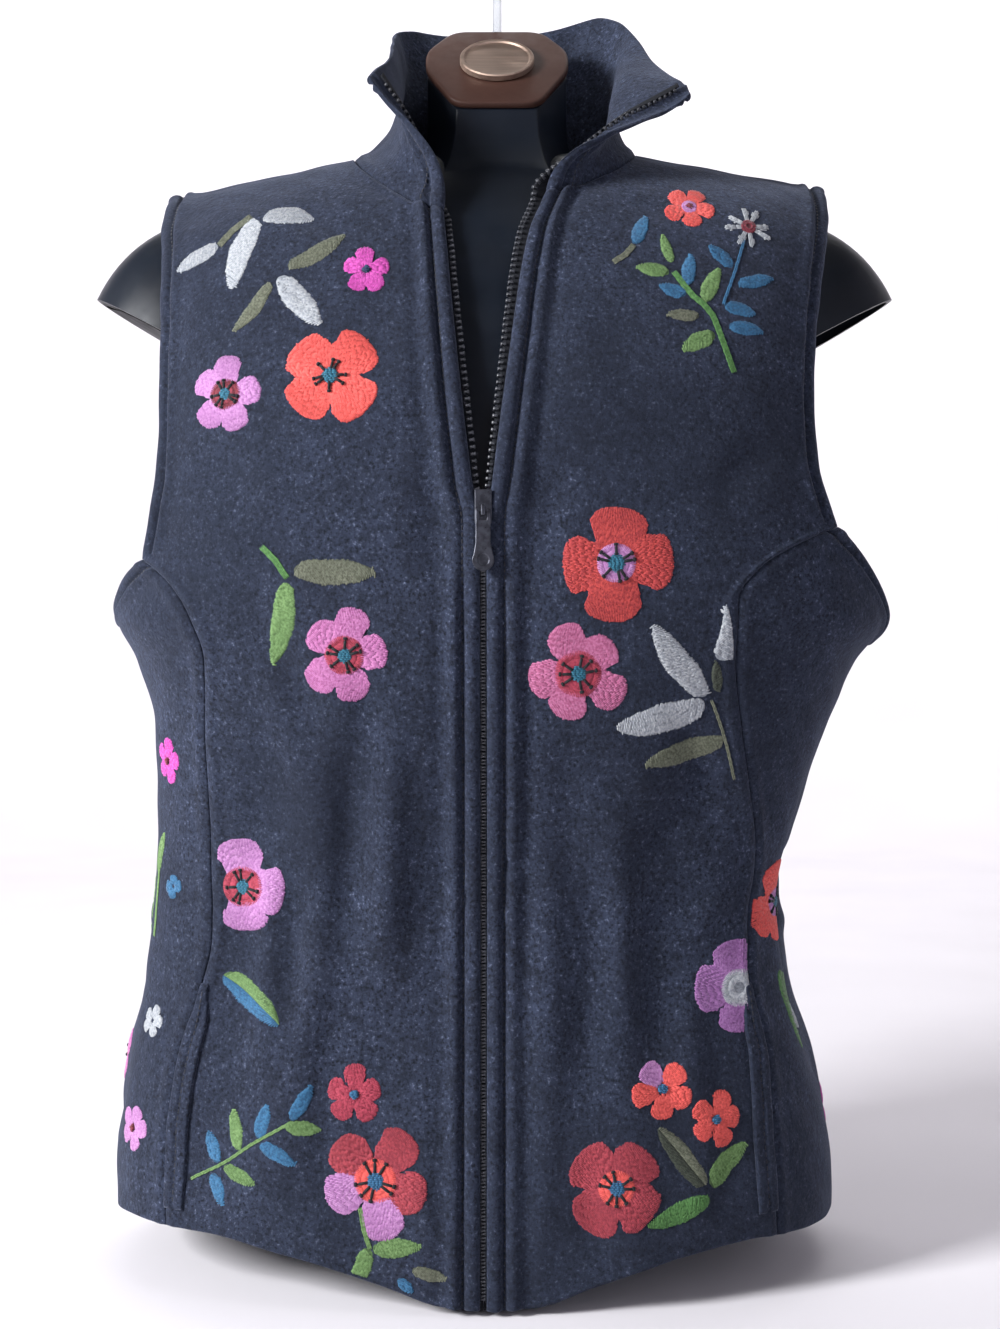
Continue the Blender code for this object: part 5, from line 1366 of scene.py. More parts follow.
def shoulder_cap(side, reach, name, inner_x=None):
    """An egg cut off along the arm opening, and for the hollow also on its inner side."""
    cuts = [(RIM_TIP, Vector((sin(RIM_SLOPE), 0.0, -cos(RIM_SLOPE))))]
    if inner_x is not None:
        cuts.append((Vector((inner_x, 0, 0)), Vector((-1.0, 0, 0))))

    def work(tool):
        bmesh.ops.create_uvsphere(tool, u_segments=72, v_segments=48, radius=1.0)
        egg = Matrix.Translation(STUB_CENTRE) @ Matrix.Diagonal((*reach, 1.0))
        bmesh.ops.transform(tool, matrix=egg, verts=tool.verts)
        for point, towards in cuts:
            everything = tool.verts[:] + tool.edges[:] + tool.faces[:]
            bmesh.ops.bisect_plane(tool, geom=everything, plane_co=point, plane_no=towards, clear_outer=True)
            bmesh.ops.holes_fill(tool, edges=[edge for edge in tool.edges if edge.is_boundary])
        bmesh.ops.transform(tool, matrix=Matrix.Diagonal((side, 1.0, 1.0, 1.0)), verts=tool.verts)

    return worked(mesh_object(name, [], []), work)


def block(name, size, matrix):
    def work(tool):
        bmesh.ops.create_cube(tool, size=1.0)
        bmesh.ops.transform(tool, matrix=matrix @ Matrix.Diagonal((*size, 1.0)), verts=tool.verts)

    return worked(mesh_object(name, [], []), work)


def plate_frame():
    out = Vector((0.0, -sin(PLATE_SLOPE), cos(PLATE_SLOPE)))
    up = Vector((0.0, cos(PLATE_SLOPE), sin(PLATE_SLOPE)))
    return Matrix(((1, up.x, out.x), (0, up.y, out.y), (0, up.z, out.z))).to_4x4()


def settled(target):
    """Applies an object's modifiers and removes the tools that they used."""
    tools = [change.object for change in target.modifiers if change.type == "BOOLEAN"]
    mesh = bpy.data.meshes.new_from_object(target.evaluated_get(bpy.context.evaluated_depsgraph_get()))
    target.modifiers.clear()
    target.data = mesh
    for tool in tools:
        bpy.data.objects.remove(tool)
    return target


def combine(target, tool, operation):
    change = target.modifiers.new(operation.lower(), "BOOLEAN")
    change.operation, change.object = operation, tool


angles = np.radians(np.arange(120) * 3.0)
levels = np.concatenate([np.linspace(1.6, 13, 58), np.linspace(13.1, TOP_LEVEL, 16)])
form_rings = [form_ring(level, angles) for level in levels]
foot_height, foot_across, foot_deep = np.array(FORM_FOOT).T
foot_rings = [
    form_rings[0] * [np.interp(h, foot_height, foot_across), np.interp(h, foot_height, foot_deep), 0] + [0, 0, h]
    for h in np.linspace(0, 0.058, 9)
]
torso = loft("display_form", foot_rings + form_rings)

neck_rings = []
for height in [*np.linspace(0.6, 0.672, 13), 0.8]:
    ring = np.array(mirrored(NECK_OUTLINE)) * np.interp(height, *zip(*NECK_FLARE))
    neck_rings.append(np.stack([ring[:, 0] + NECK_X, ring[:, 1], np.full(len(ring), height)], axis=-1))
neck = loft("neck_block", neck_rings)
plate_out = plate_frame().to_3x3() @ Vector((0, 0, 1))
slope_middle = PLATE_CENTRE - plate_out * (PLATE_THICKNESS / 2 + SEAM_GAP)
above_slope = Matrix.Translation(slope_middle + plate_out * 0.075) @ plate_frame()
combine(neck, block("slope_cut", (0.3, 0.3, 0.15), above_slope), "DIFFERENCE")
combine(neck, block("top_cut", (0.3, 0.3, 0.1), Matrix.Translation((0, 0, NECK_TOP + 0.05))), "DIFFERENCE")
neck = settled(neck)
bevel = neck.modifiers.new("soft edges", "BEVEL")
bevel.width, bevel.segments, bevel.limit_method, bevel.angle_limit = 0.0009, 3, "ANGLE", radians(28)
neck = settled(neck)
combine(torso, neck, "UNION")
for side, side_name in SIDE_NAMES.items():
    combine(torso, shoulder_cap(side, STUB_REACH, f"stub_{side_name}"), "UNION")
for side, side_name in SIDE_NAMES.items():
    inner_reach = STUB_REACH - Vector((STUB_WALL,) * 3)
    combine(torso, shoulder_cap(side, inner_reach, f"hollow_{side_name}", STUB_HOLLOW_X), "DIFFERENCE")
torso = settled(torso)
torso.data.transform(Matrix.Translation((0, MOVED, 0)))
torso.data.shade_smooth()
torso.data.set_sharp_from_angle(angle=radians(34))
painted(torso, GLOSS)
print("form:", len(torso.data.polygons), "faces")

# %% [markdown]
# The neck ends in a brown plate with rounded corners. The plain metal disc on it has a raised rim and a shallow
# dish, and the clear hook is a smooth wire. Plate and disc are rings of points, and the hook is a bevelled curve.

# %% Plate, disc and hook
PLATE_OUTLINE = ((.027, .0428), (.0428, .018), (.0428, -.004), (.025, -.0428))
PLATE_EDGE = (  # how far in and how high, in shares of the thickness
    (.0012, -.5), (.0003, -.43), (0, -.3), (0, .22), (.0003, .36), (.001, .46), (.0022, .5),
)
DISC_PROFILE = (  # share of the radius, and height
    (.0004, .0008), (.45, .0008), (.86, .001), (.9, .0019), (.97, .002), (1.0, .0014),
    (1.0, -.0016), (.97, -.002), (.0004, -.002),
)


def rounded(outline, radius, steps=7):
    """A closed outline with its corners rounded off."""
    corners = [Vector(corner) for corner in outline]
    spots = []
    for k, corner in enumerate(corners):
        before = (corners[k - 1] - corner).normalized()
        after = (corners[(k + 1) % len(corners)] - corner).normalized()
        for t in np.linspace(0, 1, steps):
            a, b = corner + before * radius * (1 - t), corner + after * radius * t
            spots.append(tuple(a.lerp(b, t)))
    return spots


def on_neck(name, rings, up, lift, finish):
    """A closed piece that lies on the neck's sloping end."""
    low, high = rings[0][0][2], rings[-1][0][2]
    made = ringed(name, [[(0, 0, low)], *rings, [(0, 0, high)]])
    centre = PLATE_CENTRE + plate_frame().to_3x3() @ Vector((0.0, up, lift))
    made.data.transform(Matrix.Translation((0, MOVED, 0)) @ Matrix.Translation(centre) @ plate_frame())
    made.data.set_sharp_from_angle(angle=radians(35))
    return painted(made, finish)


corners = rounded(mirrored(PLATE_OUTLINE), 0.0085)
plate_rings = [[(x * (1 - inset / 0.043), y * (1 - inset / 0.043), share * PLATE_THICKNESS) for x, y in corners]
               for inset, share in PLATE_EDGE]
plate = on_neck("plate_shape", plate_rings, 0.0, 0.0, BROWN)
disc_rings = [[(x, y, z) for x, y in circle(share * DISC_RADIUS, np.arange(0, 360, 4))] for share, z in DISC_PROFILE]
disc_lift = PLATE_THICKNESS / 2 + SEAM_GAP + DISC_THICKNESS / 2
disc = on_neck("disc_shape", disc_rings, DISC_UP, disc_lift, SILVER)

x, y, foot = HOOK_FOOT[0], HOOK_FOOT[1] + MOVED, HOOK_FOOT[2]
bend_z = foot + HOOK_STEM + HOOK_BEND
route = [(x, y, foot + HOOK_STEM * share) for share in (0, 0.5, 0.9)]
route += [(x + across, y, z) for across, z in circle(HOOK_BEND, np.linspace(-90, 160, 44), bend_z)]
wire = thickened("hook", "3D", [route], bevel_depth=HOOK_RADIUS, bevel_resolution=5, use_fill_caps=True)
hook = painted(placed("hook_shape", wire), CLEAR)
print("neck plate, disc and hook:", [len(piece.data.polygons) for piece in (plate, disc, hook)], "faces")

# %% [markdown]
# ## Embroidery
#
# The motifs are plain folk flowers, leaves and sprigs, worked in wool yarn. The tables give each by its place and
# size in millimetres, seen square on from the front, the back, a side or the right front. A motif is cut where it
# meets a seam, as the cloth was cut after it was embroidered. A picture would be flat, so every thread is real.

# %% Motif tables
# Across and up of the foot and of the tip, width, bend, colours of its two halves.
LEAVES = {"front": (
    (-154, 586, -179, 571, 10, 0, "white"), (-133, 604, -145, 556, 14, -2, "white"),
    (-133, 600, -101, 599, 12, 3, "white"), (-120, 564, -94, 533, 14, 0, "white"),
    (-116, 567, -83, 588, 10, -2, "olive"), (-122, 561, -143, 531, 8, 2, "olive"),
    (77, 580, 85, 600, 8, 0, "blue"), (98, 569, 93, 588, 6, 0, "leafgreen"),
    (97, 564, 78, 567, 8, 0, "leafgreen"), (105, 555, 109, 576, 8, 0, "blue"),
    (106, 551, 90, 556, 8, 0, "blue"), (114, 546, 124, 568, 9, 0, "leafgreen"),
    (113, 539, 94, 539, 7, 0, "olive"), (121, 530, 102, 519, 10, 0, "leafgreen"),
    (133, 568, 119, 582, 8, 0, "blue"), (133, 558, 155, 564, 8, 0, "blue"),
    (125, 546, 144, 542, 8, 0, "blue"), (127, 534, 148, 532, 8, 0, "blue"),
    (-111, 396, -120, 349, 13, 2, "leafgreen"), (-110, 399, -63, 398, 14, 0, "olive"),
    (118, 330, 85, 370, 15, 2, "white"), (118, 329, 66, 314, 16, 2, "white"),
    (125, 349, 125, 382, 12, 0, "white", "bud"), (122, 333, 120, 351, 6, 0, "darkolive"),
    (129, 309, 82, 294, 12, 0, "olive"), (-154, 176, -118, 151, 15, 2, "leafgreen blue"),
    (-152, 73, -159, 90, 8, 0, "blue"), (-156, 69, -149, 52, 8, 0, "blue"),
    (-129, 89, -124, 109, 8, 0, "blue"), (-129, 88, -107, 78, 8, 0, "blue"),
    (-111, 100, -99, 120, 8, 0, "blue"), (-140, 81, -144, 104, 8, 0, "leafgreen"),
    (-150, 73, -130, 66, 8, 0, "leafgreen"), (-115, 98, -94, 96, 8, 0, "leafgreen"),
    (-67, 36, -75, 13, 10, 0, "leafgreen"), (-67, 34, -39, 37, 10, 0, "leafgreen"),
    (-45, 25, -25, 20, 7, 0, "olive"), (-52, 20, -43, 13, 6, 0, "blue"),
    (117, 63, 89, 97, 12, 0, "darkolive olive"), (118, 62, 139, 85, 12, 2, "leafgreen"),
    (120, 59, 83, 46, 11, 0, "green"),
), "right_front": (
    (-88, 226, -79, 252, 9, 1, "leafgreen"),
), "back": (
    (-20, 560, -66, 584, 15, 3, "white"), (-16, 556, -52, 532, 14, -2, "white"),
    (96, 452, 104, 412, 13, 2, "leafgreen"), (96, 456, 138, 466, 13, 0, "olive"),
    (-104, 398, -134, 432, 13, 2, "leafgreen"), (-100, 392, -60, 382, 13, -2, "olive"),
    (62, 250, 98, 284, 15, 2, "white"), (60, 244, 110, 232, 15, -2, "white"),
    (-48, 210, -90, 232, 13, 0, "blue leafgreen"), (30, 104, 66, 128, 10, 0, "leafgreen"),
    (26, 98, 52, 74, 10, 0, "green"), (-98, 74, -118, 104, 8, 0, "blue"),
    (-92, 66, -66, 84, 8, 0, "leafgreen"), (-104, 62, -130, 52, 8, 0, "blue"),
), "left": (
    (-40, 176, -30, 126, 14, 1, "green"), (22, 330, 52, 350, 11, 0, "olive"),
    (-16, 190, -24, 146, 9, 0, "leafgreen"), (-14, 160, 8, 130, 9, 0, "white"),
), "right": (
    (-22, 322, -50, 300, 11, 0, "leafgreen"), (12, 228, 22, 200, 8, 0, "leafgreen"),
    (4, 196, -8, 176, 8, 0, "green"),
)}
# The places that it runs through, width, colour.
STEMS = {"front": (
    (((-154, 585), (-146, 595), (-138, 602)), 4, "olive"),
    (((77, 580), (72, 574), (66, 570)), 3.5, "olive"),
    (((99, 564), (109, 550), (118, 542), (124, 526), (130, 508)), 3.2, "green"),
    (((140, 586), (133, 565), (126, 547)), 2.2, "blue"),
    (((-124, 412), (-117, 405), (-111, 396)), 3.8, "green"),
    (((119, 329), (125, 314), (130, 298), (133, 286)), 2.2, "olive"),
    (((-168, 64), (-150, 74), (-131, 88), (-111, 100)), 2.2, "leafgreen"),
    (((-72, 55), (-70, 44), (-67, 35)), 2.4, "leafgreen"),
), "right_front": (
    (((-80, 247), (-86, 223), (-86, 192)), 2.4, "leafgreen"),
), "back": (
    (((-18, 558), (-4, 548), (4, 532)), 3.4, "olive"), (((96, 455), (88, 470), (80, 480)), 3.4, "green"),
    (((60, 246), (50, 234), (44, 220)), 2.6, "olive"), (((-66, 92), (-96, 70), (-124, 40)), 3, "green"),
    (((28, 101), (18, 90), (10, 74)), 3, "green"),
), "left": (
    (((-14, 196), (-18, 160), (-10, 128)), 3, "green"),
), "right": (
    (((-20, 324), (-12, 310), (-14, 296)), 3, "green"),
)}
# Across, up, radius, petals, turn, colours of the petals, dot, ring, radius of the ring.
FLOWERS = {"front": (
    (-70, 565, 13.7, 5, 20, "magenta", "navy"), (-88, 504, 27, 4, 45, "coral", "teal"),
    (-146, 496, 21, 5, 10, "lilac", "teal", "maroon", 9),
    (110, 607, 14.5, 5, 60, "coral", "maroon", "lilac", 4.5),
    (143, 595, 13.5, 8, 10, "white", "", "maroon", 4.5),
    (-80, 354, 25, 5, 72, "pink", "teal", "rose", 11),
    (65, 403, 30, 4, 0, "deepcoral", "teal", "lilac", 11),
    (45, 344, 27, 5, 40, "rosepink", "teal", "rose", 13),
    (-140, 225, 26, 4, 0, "lilac lilac - lilac", "teal", "rose", 12),
    (137, 168, 26, 4, 0, "violet", "", "white", 11), (-76, 115, 16, 5, 90, "rose", "blue"),
    (-64, 70, 30, 5, 60, "red red lilac lilac red", "blue", "coral", 12),
    (92, 117, 17, 5, 50, "coral lilac coral coral coral", "blue"), (122, 99, 15, 5, 0, "coral", "blue"),
    (66, 67, 27, 4, 50, "red", "blue", "coral", 10),
), "right_front": (
    (-69, 294, 13, 5, 0, "magenta", "maroon"), (-67, 222, 7, 4, 0, "blue"),
    (-80, 84, 14, 5, 0, "lilac", "maroon"), (-74, 145, 9.5, 5, 0, "white"),
), "back": (
    (8, 520, 28, 4, 20, "coral", "teal", "lilac", 11), (62, 492, 21, 5, 10, "lilac", "teal", "maroon", 9),
    (120, 590, 14, 5, 30, "magenta", "navy"), (-120, 560, 16, 5, 70, "rose", "blue"),
    (-70, 440, 25, 5, 50, "pink", "teal", "rose", 11),
    (26, 356, 27, 4, 30, "deepcoral", "teal", "lilac", 11),
    (140, 330, 24, 5, 0, "rosepink", "teal", "rose", 11), (-20, 286, 14, 5, 15, "magenta", "navy"),
    (-128, 262, 24, 4, 40, "lilac", "teal", "rose", 11),
    (118, 150, 26, 4, 10, "red", "blue", "coral", 10),
    (-10, 152, 26, 5, 60, "lilac red red lilac red", "blue", "coral", 11),
    (4, 52, 15, 5, 20, "coral", "blue"), (80, 62, 16, 5, 45, "rose", "blue"),
    (-60, 108, 15, 5, 0, "coral", "blue"),
), "left": (
    (34, 300, 19, 5, 30, "lilac", "teal", "maroon", 8),
    (-36, 212, 24, 4, 20, "coral", "teal", "lilac", 9), (36, 78, 17, 5, 0, "magenta", "navy"),
), "right": (
    (-36, 258, 20, 4, 20, "coral", "teal", "lilac", 8), (-34, 110, 20, 5, 40, "pink", "teal", "rose", 9),
)}
counts = [sum(map(len, table.values())) for table in (LEAVES, STEMS, FLOWERS)]
print("{} leaves, {} stems and {} flowers".format(*counts))

# %% [markdown]
# A filled shape is a low pad that follows the cloth, covered with rows of threads: slanted satin stitches on a
# leaf, and long and short stitches on a petal. Every point of it is found by looking straight at the panel from
# outside, and lifted off the cloth by its place on the pad.

# %% Pads and threads
THREAD_WIDTH = 0.92  # mm
SHORTEST, LONGEST = 0.0006, 0.016
rng = np.random.default_rng(11)
PROFILES = {
    "leaf": lambda s: np.sin(np.pi * np.clip(s, 0, 1) ** 0.92) ** 0.52,
    "bud": lambda s: (1 - s) ** 0.95 * np.minimum(1, (s / 0.16)) ** 0.5 * 1.25,
    "broad": lambda s: (0.5 + 0.62 * s**0.9) * np.sqrt(np.maximum(0, 1 - s**4.5)) * 0.95,
    "round": lambda s: (0.34 + 0.8 * s**0.8) * np.sqrt(np.maximum(0, 1 - s**3.6)),
    "narrow": lambda s: (0.3 + 0.75 * s) * np.sqrt(np.maximum(0, 1 - s**4)),
    "disc": lambda s: np.sqrt(np.maximum(0, 1 - (2 * s - 1) ** 2)),
}
padding = {name: {} for name in panels}  # colour -> [points, faces]
threads = {name: {} for name in panels}  # colour -> spots


def looked_at(name, face, across_mm, up_mm):
    """What a look at a face's plane meets of a panel: the spot, the way out of the cloth and the distance."""
    across, look = FACES[face]
    start = Vector(across * across_mm / 1000 - look * 0.5) + Vector((0, 0, up_mm / 1000))
    spot, normal, _, distance = panels[name]["tree"].ray_cast(start, Vector(look))
    return spot and (spot, -normal if normal.dot(Vector(look)) > 0 else normal, distance)


def sew(panel, colour, first, second, out, stretch, width, height, lift=Vector()):
    """Keeps one thread for laid(), unless its ends have fallen too near together or too far apart."""
    way = second[0] - first[0]
    if SHORTEST < way.length < LONGEST:
        size = (way.length * stretch, width / 1000, height / 1000)
        threads[panel].setdefault(colour, []).append(((first[0] + second[0]) / 2 + lift, way, out, size))


class Shape:
    """A leaf or petal on one panel: its middle line runs from foot to tip, s goes along it and t across it."""

    def __init__(self, panel, face, foot, tip, width, kind, bend=0.0, lift=0.0, dome=0.55):
        self.panel, self.face, self.lift, self.dome = panel, face, lift, dome
        self.foot, way = np.array(foot, float), np.array(tip, float) - np.array(foot, float)
        self.length = float(np.linalg.norm(way))
        self.way = way / self.length
        self.side = np.array([-self.way[1], self.way[0]])
        self.half, self.profile, self.bend = width / 2, PROFILES[kind], bend
        self.wobble, self.phase = (0.0 if kind == "disc" else 1.0), float(self.foot[0] * 0.7 + self.foot[1] * 1.3)

    def flat(self, s, off):
        return self.foot + self.way * s * self.length + self.side * (off + self.bend * 4 * s * (1 - s))

    def width_at(self, s, off=1.0):
        """Half the width on the side of off: hand-guided outlines wander a little."""
        phase = self.phase + (2.1 if off < 0 else 0.0)
        wander = 1 + self.wobble * (0.055 * sin(6.5 * s + phase) + 0.035 * sin(15 * s + 2 * phase))
        return float(self.half * self.profile(np.clip(s, 0, 1)) * wander)

    def height(self, s, off):
        t = min(1.0, abs(off) / max(self.width_at(s, off), 0.01))
        return self.lift + self.dome * sqrt(1 - t * t) * min(1.0, 5 * s, 5 * (1 - s) + 0.3)

    def lay(self, s, off, extra=0.0):
        met = looked_at(self.panel, self.face, *self.flat(s, off))
        return met and (met[0] + met[1] * (self.height(s, off) + extra) / 1000, met[1])

    def pad(self, colour, share=(-1, 1)):
        rows, columns = max(6, int(self.length / 2.6)), max(4, int(self.half / 1.3) + 2)
        points, faces = padding[self.panel].setdefault(colour, [[], []])
        index = {}
        for i in range(rows + 1):
            s = 0.5 - 0.5 * cos(pi * i / rows)
            for j in range(columns + 1):
                t = share[0] + (share[1] - share[0]) * j / columns
                off = t * self.width_at(s, t) * 0.98
                met = looked_at(self.panel, self.face, *self.flat(s, off))
                if met:
                    index[i, j] = len(points)
                    edge = abs(t) > 0.99 or i in (0, rows)
                    lift = -0.25 if edge else self.height(s, off) - 0.18
                    points.append(met[0] + met[1] * lift / 1000)
        for i in range(rows):
            for j in range(columns):
                corners = [(i, j), (i, j + 1), (i + 1, j + 1), (i + 1, j)]
                if all(corner in index for corner in corners):
                    faces.append([index[corner] for corner in corners])

    def thread(self, colour, s1, off1, s2, off2, width=THREAD_WIDTH, extra=0.0):
        first, second = self.lay(s1, off1, extra), self.lay(s2, off2, extra)
        if not (first or second):
            return
        if not (first and second):  # it runs over a seam, so it is cut there
            kept, lost, inside = ((s1, off1), (s2, off2), first) if first else ((s2, off2), (s1, off1), second)
            for _ in range(5):
                middle = ((kept[0] + lost[0]) / 2, (kept[1] + lost[1]) / 2)
                met = self.lay(*middle, extra)
                kept, lost, inside = (middle, lost, met) if met else (kept, middle, inside)
            first, second = (first, inside) if first else (inside, second)
        sew(self.panel, colour, first, second, first[1] + second[1], 1.12, width * 0.96, width * 0.9)

    def satin(self, colours):
        """Slanted stitches from one edge to the other, broken at a wandering place across the middle."""
        step, slant = THREAD_WIDTH * 0.98 / self.length, 0.55 * self.half / self.length
        for s in np.arange(0.0, 1.0, step):
            lean = min(slant, 0.7 * (1 - s))
            reach = {way: self.width_at(s + way * lean, way) * (0.93 + 0.15 * rng.random()) for way in (1, -1)}
            if min(reach.values()) < 0.15:
                continue
            split = 0.0 if colours[0] != colours[-1] else (rng.random() - 0.5) * 1.1 * self.half
            for way, colour in ((1, colours[0]), (-1, colours[-1])):
                ends_of = [(s + off / self.half * lean, off) for off in (split, way * reach[way])]
                if (ends_of[1][1] - split) * way > 0.4:
                    self.thread(colour, *ends_of[0], *ends_of[1])

    def long_and_short(self, colour, fan=0.5, length=4.4, start=0.0):
        """Rows of staggered stitches along the shape, a little closer together at its foot."""
        rows = int(self.half * 1.2 / THREAD_WIDTH) + 1
        for row in range(-rows, rows + 1):
            s = start + (rng.random() - 0.5) * length / self.length
            while s < 1.0:
                ahead = s + length * (0.8 + 0.4 * rng.random()) / self.length
                s1, s2 = max(start, s), min(0.965 + 0.05 * rng.random(), ahead)

                def off_at(at):
                    return row * THREAD_WIDTH * 1.06 * (1 - fan + fan * at)

                while s2 > s1 + 0.02 and abs(off_at(s2)) > self.width_at(s2, row) * 1.02:
                    s2 -= 0.02
                if s2 - s1 > 0.9 / self.length and abs(off_at(s1)) <= self.width_at(s1, row) * 1.02:
                    self.thread(colour, s1, off_at(s1), s2, off_at(s2))
                s = ahead * 0.96 + s * 0.04


# %% Work the motifs
def worked_on(name, face, *spots):
    """Whether most of a motif lies on this panel: each was worked on one piece of cloth before it was sewn."""
    nearest = []
    for spot in spots:
        met = {other: looked_at(other, face, *spot) for other in panels}
        distances = {other: found[2] for other, found in met.items() if found}
        nearest += [min(distances, key=distances.get)] if distances else []
    return bool(nearest) and max(sorted(set(nearest)), key=nearest.count) == name


def round_shape(name, face, centre, radius, lift, dome=0.55):
    return Shape(name, face, centre - [radius, 0], centre + [radius, 0], radius * 2, "disc", lift=lift, dome=dome)


def spoke(shape, radius, colour, angle, shares, widths=(THREAD_WIDTH,), extra=0.0):
    """Threads end to end outwards from a round shape's middle, between shares of its radius."""
    ends = [(0.5 + 0.5 * share * cos(angle), radius * share * sin(angle)) for share in shares]
    for first, second, width in zip(ends, ends[1:], widths):
        shape.thread(colour, *first, *second, width=width, extra=extra)


def work_flower(name, face, across, up, radius, petals, turn, colours, dot="", ring="", ring_radius=0):
    centre, colours = np.array([across, up], float), colours.split()
    kind = {4: "broad", 8: "narrow"}.get(petals, "round")
    width = radius * {4: 1.22, 5: 0.93, 8: 0.4}[petals]
    for k in range(petals):
        angle = radians(turn + 360 * k / petals + 5 * sin(3.1 * k + across))
        way = np.array([cos(angle), sin(angle)])
        reach = radius * (1 + 0.06 * sin(2.3 * k + up))
        petal = Shape(name, face, centre + way * radius * 0.12, centre + way * reach, width, kind, lift=0.06 * (k % 2))
        colour = colours[k % len(colours)]
        if colour != "-":
            petal.pad(colour)
            petal.long_and_short(colour, 0.55 if petals < 8 else 0.2)
    if ring:
        disc_shape = round_shape(name, face, centre, ring_radius, 0.45)
        disc_shape.pad(ring)
        for k in range(int(ring_radius * 2 * pi / THREAD_WIDTH / 1.15)):
            for shares in ((0.3, 0.66), (0.62, 0.99)):
                spoke(disc_shape, ring_radius, ring, k * THREAD_WIDTH * 1.15 / ring_radius, shares)
    if dot:
        size = max(2.0, radius * 0.17)
        reach = min(ring_radius, radius * 0.4) if ring else radius * 0.36
        stamens = 8 if radius > 17 else 0
        hub = round_shape(name, face, centre, reach, 0.75)
        for k in range(stamens):
            angle = 2 * pi * (k + 0.3 * sin(k * 2.1 + across)) / stamens
            spoke(hub, reach, "black", angle, (size / reach * 0.7, 0.82, 0.98), widths=(1.7, 2.5), extra=0.2)
        knot = round_shape(name, face, centre, size, 1.0, 0.8)
        knot.pad(dot)
        knot.long_and_short(dot, 0.0, 2.2)


def work_stem(name, face, route, width, colour):
    line = np.array(route, float)
    lengths = arc(line)
    knots = np.linspace(0, lengths[-1], max(3, int(lengths[-1] / 7)))
    curve = np.stack([smooth_track(lengths, values, knots) for values in line.T], axis=-1)
    for start, end in zip(curve, curve[1:]):
        part = Shape(name, face, start, end, width, "disc", dome=0.3)
        for row in np.arange(-width / 2 + 0.4, width / 2 - 0.2, THREAD_WIDTH * 0.9):
            for s in (0.0, 0.5):
                first, second = (
                    looked_at(name, face, *(part.foot + part.way * at * part.length + part.side * off))
                    for at, off in ((s - 0.12, row - 0.2), (s + 0.62, row + 0.2))
                )
                if first and second:
                    sew(name, colour, first, second, first[1], 1.0, 0.85, 0.8, lift=first[1] * 0.0003)


def rows_of(table):
    return [(face, row) for face, rows in table.items() for row in rows]


for name in panels:
    for face, (x1, z1, x2, z2, width, bend, colours, *kind) in rows_of(LEAVES):
        if worked_on(name, face, (x1, z1), ((x1 + x2) / 2, (z1 + z2) / 2), (x2, z2)):
            leaf = Shape(name, face, (x1, z1), (x2, z2), width, kind[0] if kind else "leaf", bend)
            colours = colours.split()
            leaf.pad(colours[0], (0, 1))
            leaf.pad(colours[-1], (-1, 0))
            leaf.satin(colours)
    for face, (route, width, colour) in rows_of(STEMS):
        if worked_on(name, face, *route):
            work_stem(name, face, route, width, colour)
    for face, flower in rows_of(FLOWERS):
        if worked_on(name, face, flower[:2]):
            work_flower(name, face, *flower)

embroidery, stitch_count = {}, 0
for name in panels:
    made = []
    for colour in sorted(set(padding[name]) | set(threads[name])):
        if colour in padding[name] and padding[name][colour][1]:
            # The pads are coloured in the darker padding tones: painted shade between the threads.
            made.append(painted(mesh_object(f"pads_{name}_{colour}", *padding[name][colour]), SHADED_PADS[colour]))
        if threads[name].get(colour):
            stitch_count += len(threads[name][colour])
            made.append(laid(f"threads_{name}_{colour}", threads[name][colour], THREAD_SHAPE, YARNS[colour]))
    embroidery[name] = joined(f"embroidery_{name}", made)
    print(f"embroidery on {name}: {len(embroidery[name].data.polygons)} faces")
print(stitch_count, "embroidery stitches")
for template in (THREAD_SHAPE, TOOTH_SHAPE):
    bpy.data.objects.remove(template)

# %% [markdown]
# ## Bringing it together
#
# Every piece rides on a body of the frame and stands for the solid that it follows. The size that each cloth panel
# was cut to is looked up, but not used.

# %% Bodies and replaced solids
def declared(piece, node=None, body="garment"):
    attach(piece, body)
    if node:
        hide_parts(node)


for name, panel in panels.items():
    declared(panel["object"], name)
    declared(topstitch[name])
    declared(embroidery[name])
declared(collar, "collar")
declared(topstitch["collar"])
for side_name in SIDE_NAMES.values():
    declared(pockets[side_name], f"pocket_{side_name}")
    declared(tapes[side_name], f"zip_tape_{side_name}")
    declared(teeth[side_name])
declared(pull_tab, "zip_pull", "pull_tab")
declared(torso, "torso_form")
declared(disc, "neck_disc")
declared(plate, "neck_plate")
declared(hook, "hanging_hook")
for material_slot in frame["nodes"]["zip_slider"].material_slots:
    material_slot.material = GUNMETAL

for name, panel in panels.items():
    extra = [topstitch[name], embroidery[name]]
    if name.startswith("front"):
        side_name = name.split("_")[1]
        extra += [pockets[side_name], tapes[side_name], teeth[side_name]]
    width, length = panel["sizes"]

# %% [markdown]
# ## Floor, light and camera
#
# A pale floor curves up all round, far off, into a backdrop, so no edge shows behind the vest. One soft light, as
# from a window, stands to the upper left of the camera, with a weaker one opposite, a small one above and a strip
# that lights the backdrop.

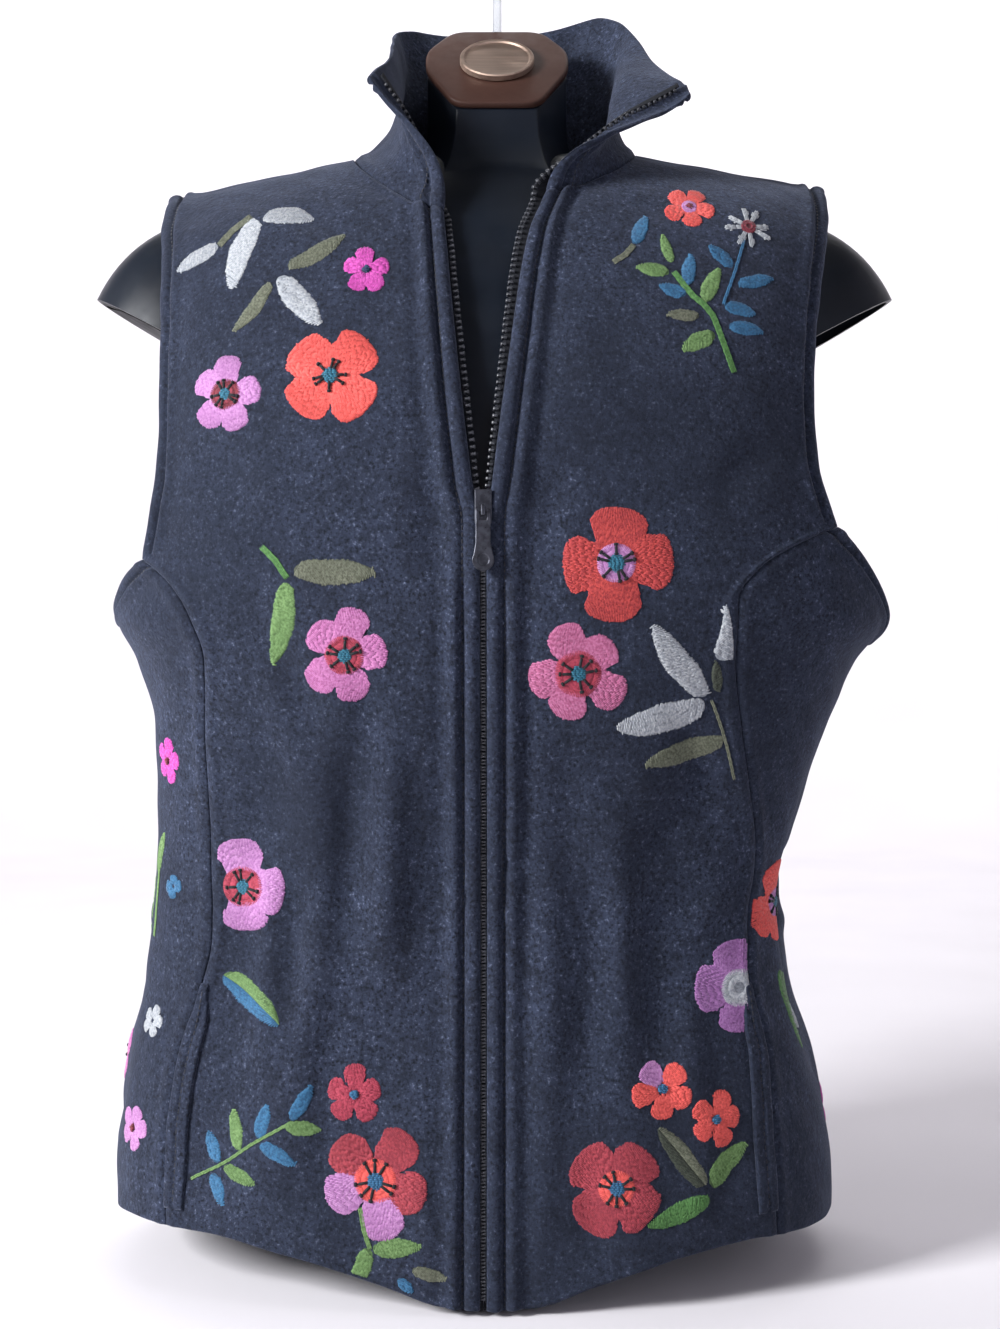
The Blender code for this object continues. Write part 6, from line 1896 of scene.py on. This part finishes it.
# %% Floor
FLOOR_RADIUS, FILLET, WALL_HEIGHT = 2.2, 0.8, 3.0
curve_points = [(0.0, 0.0), (1.0, 0.0), (FLOOR_RADIUS, 0.0)]
curve_points += [(FLOOR_RADIUS + x, z) for x, z in circle(FILLET, np.arange(-84, 0, 6), FILLET)]
curve_points += [(FLOOR_RADIUS + FILLET, FILLET), (FLOOR_RADIUS + FILLET, WALL_HEIGHT)]
turns = np.linspace(0, 2 * pi, 65)
sweep = np.array([[(r * cos(a), r * sin(a), z) for r, z in curve_points] for a in turns])
floor = mesh_object("floor", sweep.reshape(-1, 3), grid_faces(*sweep.shape[:2]))
pale = Finish("pale_floor", Roughness=0.9)
clouds = pale.add("TexNoise", Vector=pale.place, Scale=3.0, Detail=2.0, Roughness=0.55)
painted(floor, pale.done(Base_Color=pale.add("ValToRGB", Fac=clouds, stops=((0.3, "#D9D6DA"), (0.7, "#E0DDE1")))))
print(f"floor: {2 * (FLOOR_RADIUS + FILLET):.1f} m across")


# %% Lights and camera
def soft_light(name, place_at, aim, size, power, colour):
    data = bpy.data.lights.new(name, "AREA")
    data.shape, data.size, data.size_y, data.energy = "RECTANGLE", size[0], size[1], power
    data.color = linear(colour)[:3]
    lamp = placed(name, data)
    lamp.location = place_at
    lamp.rotation_euler = (Vector(aim) - Vector(place_at)).to_track_quat("-Z", "Y").to_euler()


soft_light("window", (-1.62, -1.00, 1.05), (0, 0, 0.36), (0.55, 0.55), 86, "#FCFDFF")
soft_light("fill", (1.3, -2.0, 0.8), (0, 0, 0.35), (1.0, 1.0), 4, "#DCE4FF")
soft_light("above", (0.45, -0.35, 1.8), (0, 0, 0.5), (0.5, 0.5), 2.5, "#FFFFFF")
soft_light("backdrop", (0.0, 1.3, 2.6), (0, 3.0, 0.7), (2.6, 0.6), 60, "#FFFFFF")
world = bpy.data.worlds.new("studio")
world.use_nodes = True
link(world.node_tree, world.node_tree.nodes["Background"], {"Color": "#E6E4EA", "Strength": 0.11})
bpy.context.scene.world = world

camera_data = bpy.data.cameras.new("camera")
camera_data.sensor_fit, camera_data.sensor_height, camera_data.lens = "VERTICAL", 36.0, 46.92
camera = placed("camera", camera_data)
camera.location = (0.0033, -1.0389, 0.349)
camera.rotation_euler = (radians(90), 0, 0)
bpy.context.scene.camera = camera
bpy.context.scene.view_settings.view_transform = "Standard"

# %% [markdown]
# The triangles of every mesh are counted, and the four largest pieces shown.

# %% Finish
triangles = {piece.name: sum(len(face.vertices) - 2 for face in piece.data.polygons)
             for piece in bpy.context.scene.objects if piece.type == "MESH"}
most = sorted(triangles.items(), key=lambda item: -item[1])[:4]
print("triangles:", sum(triangles.values()), "most:", most)
import json
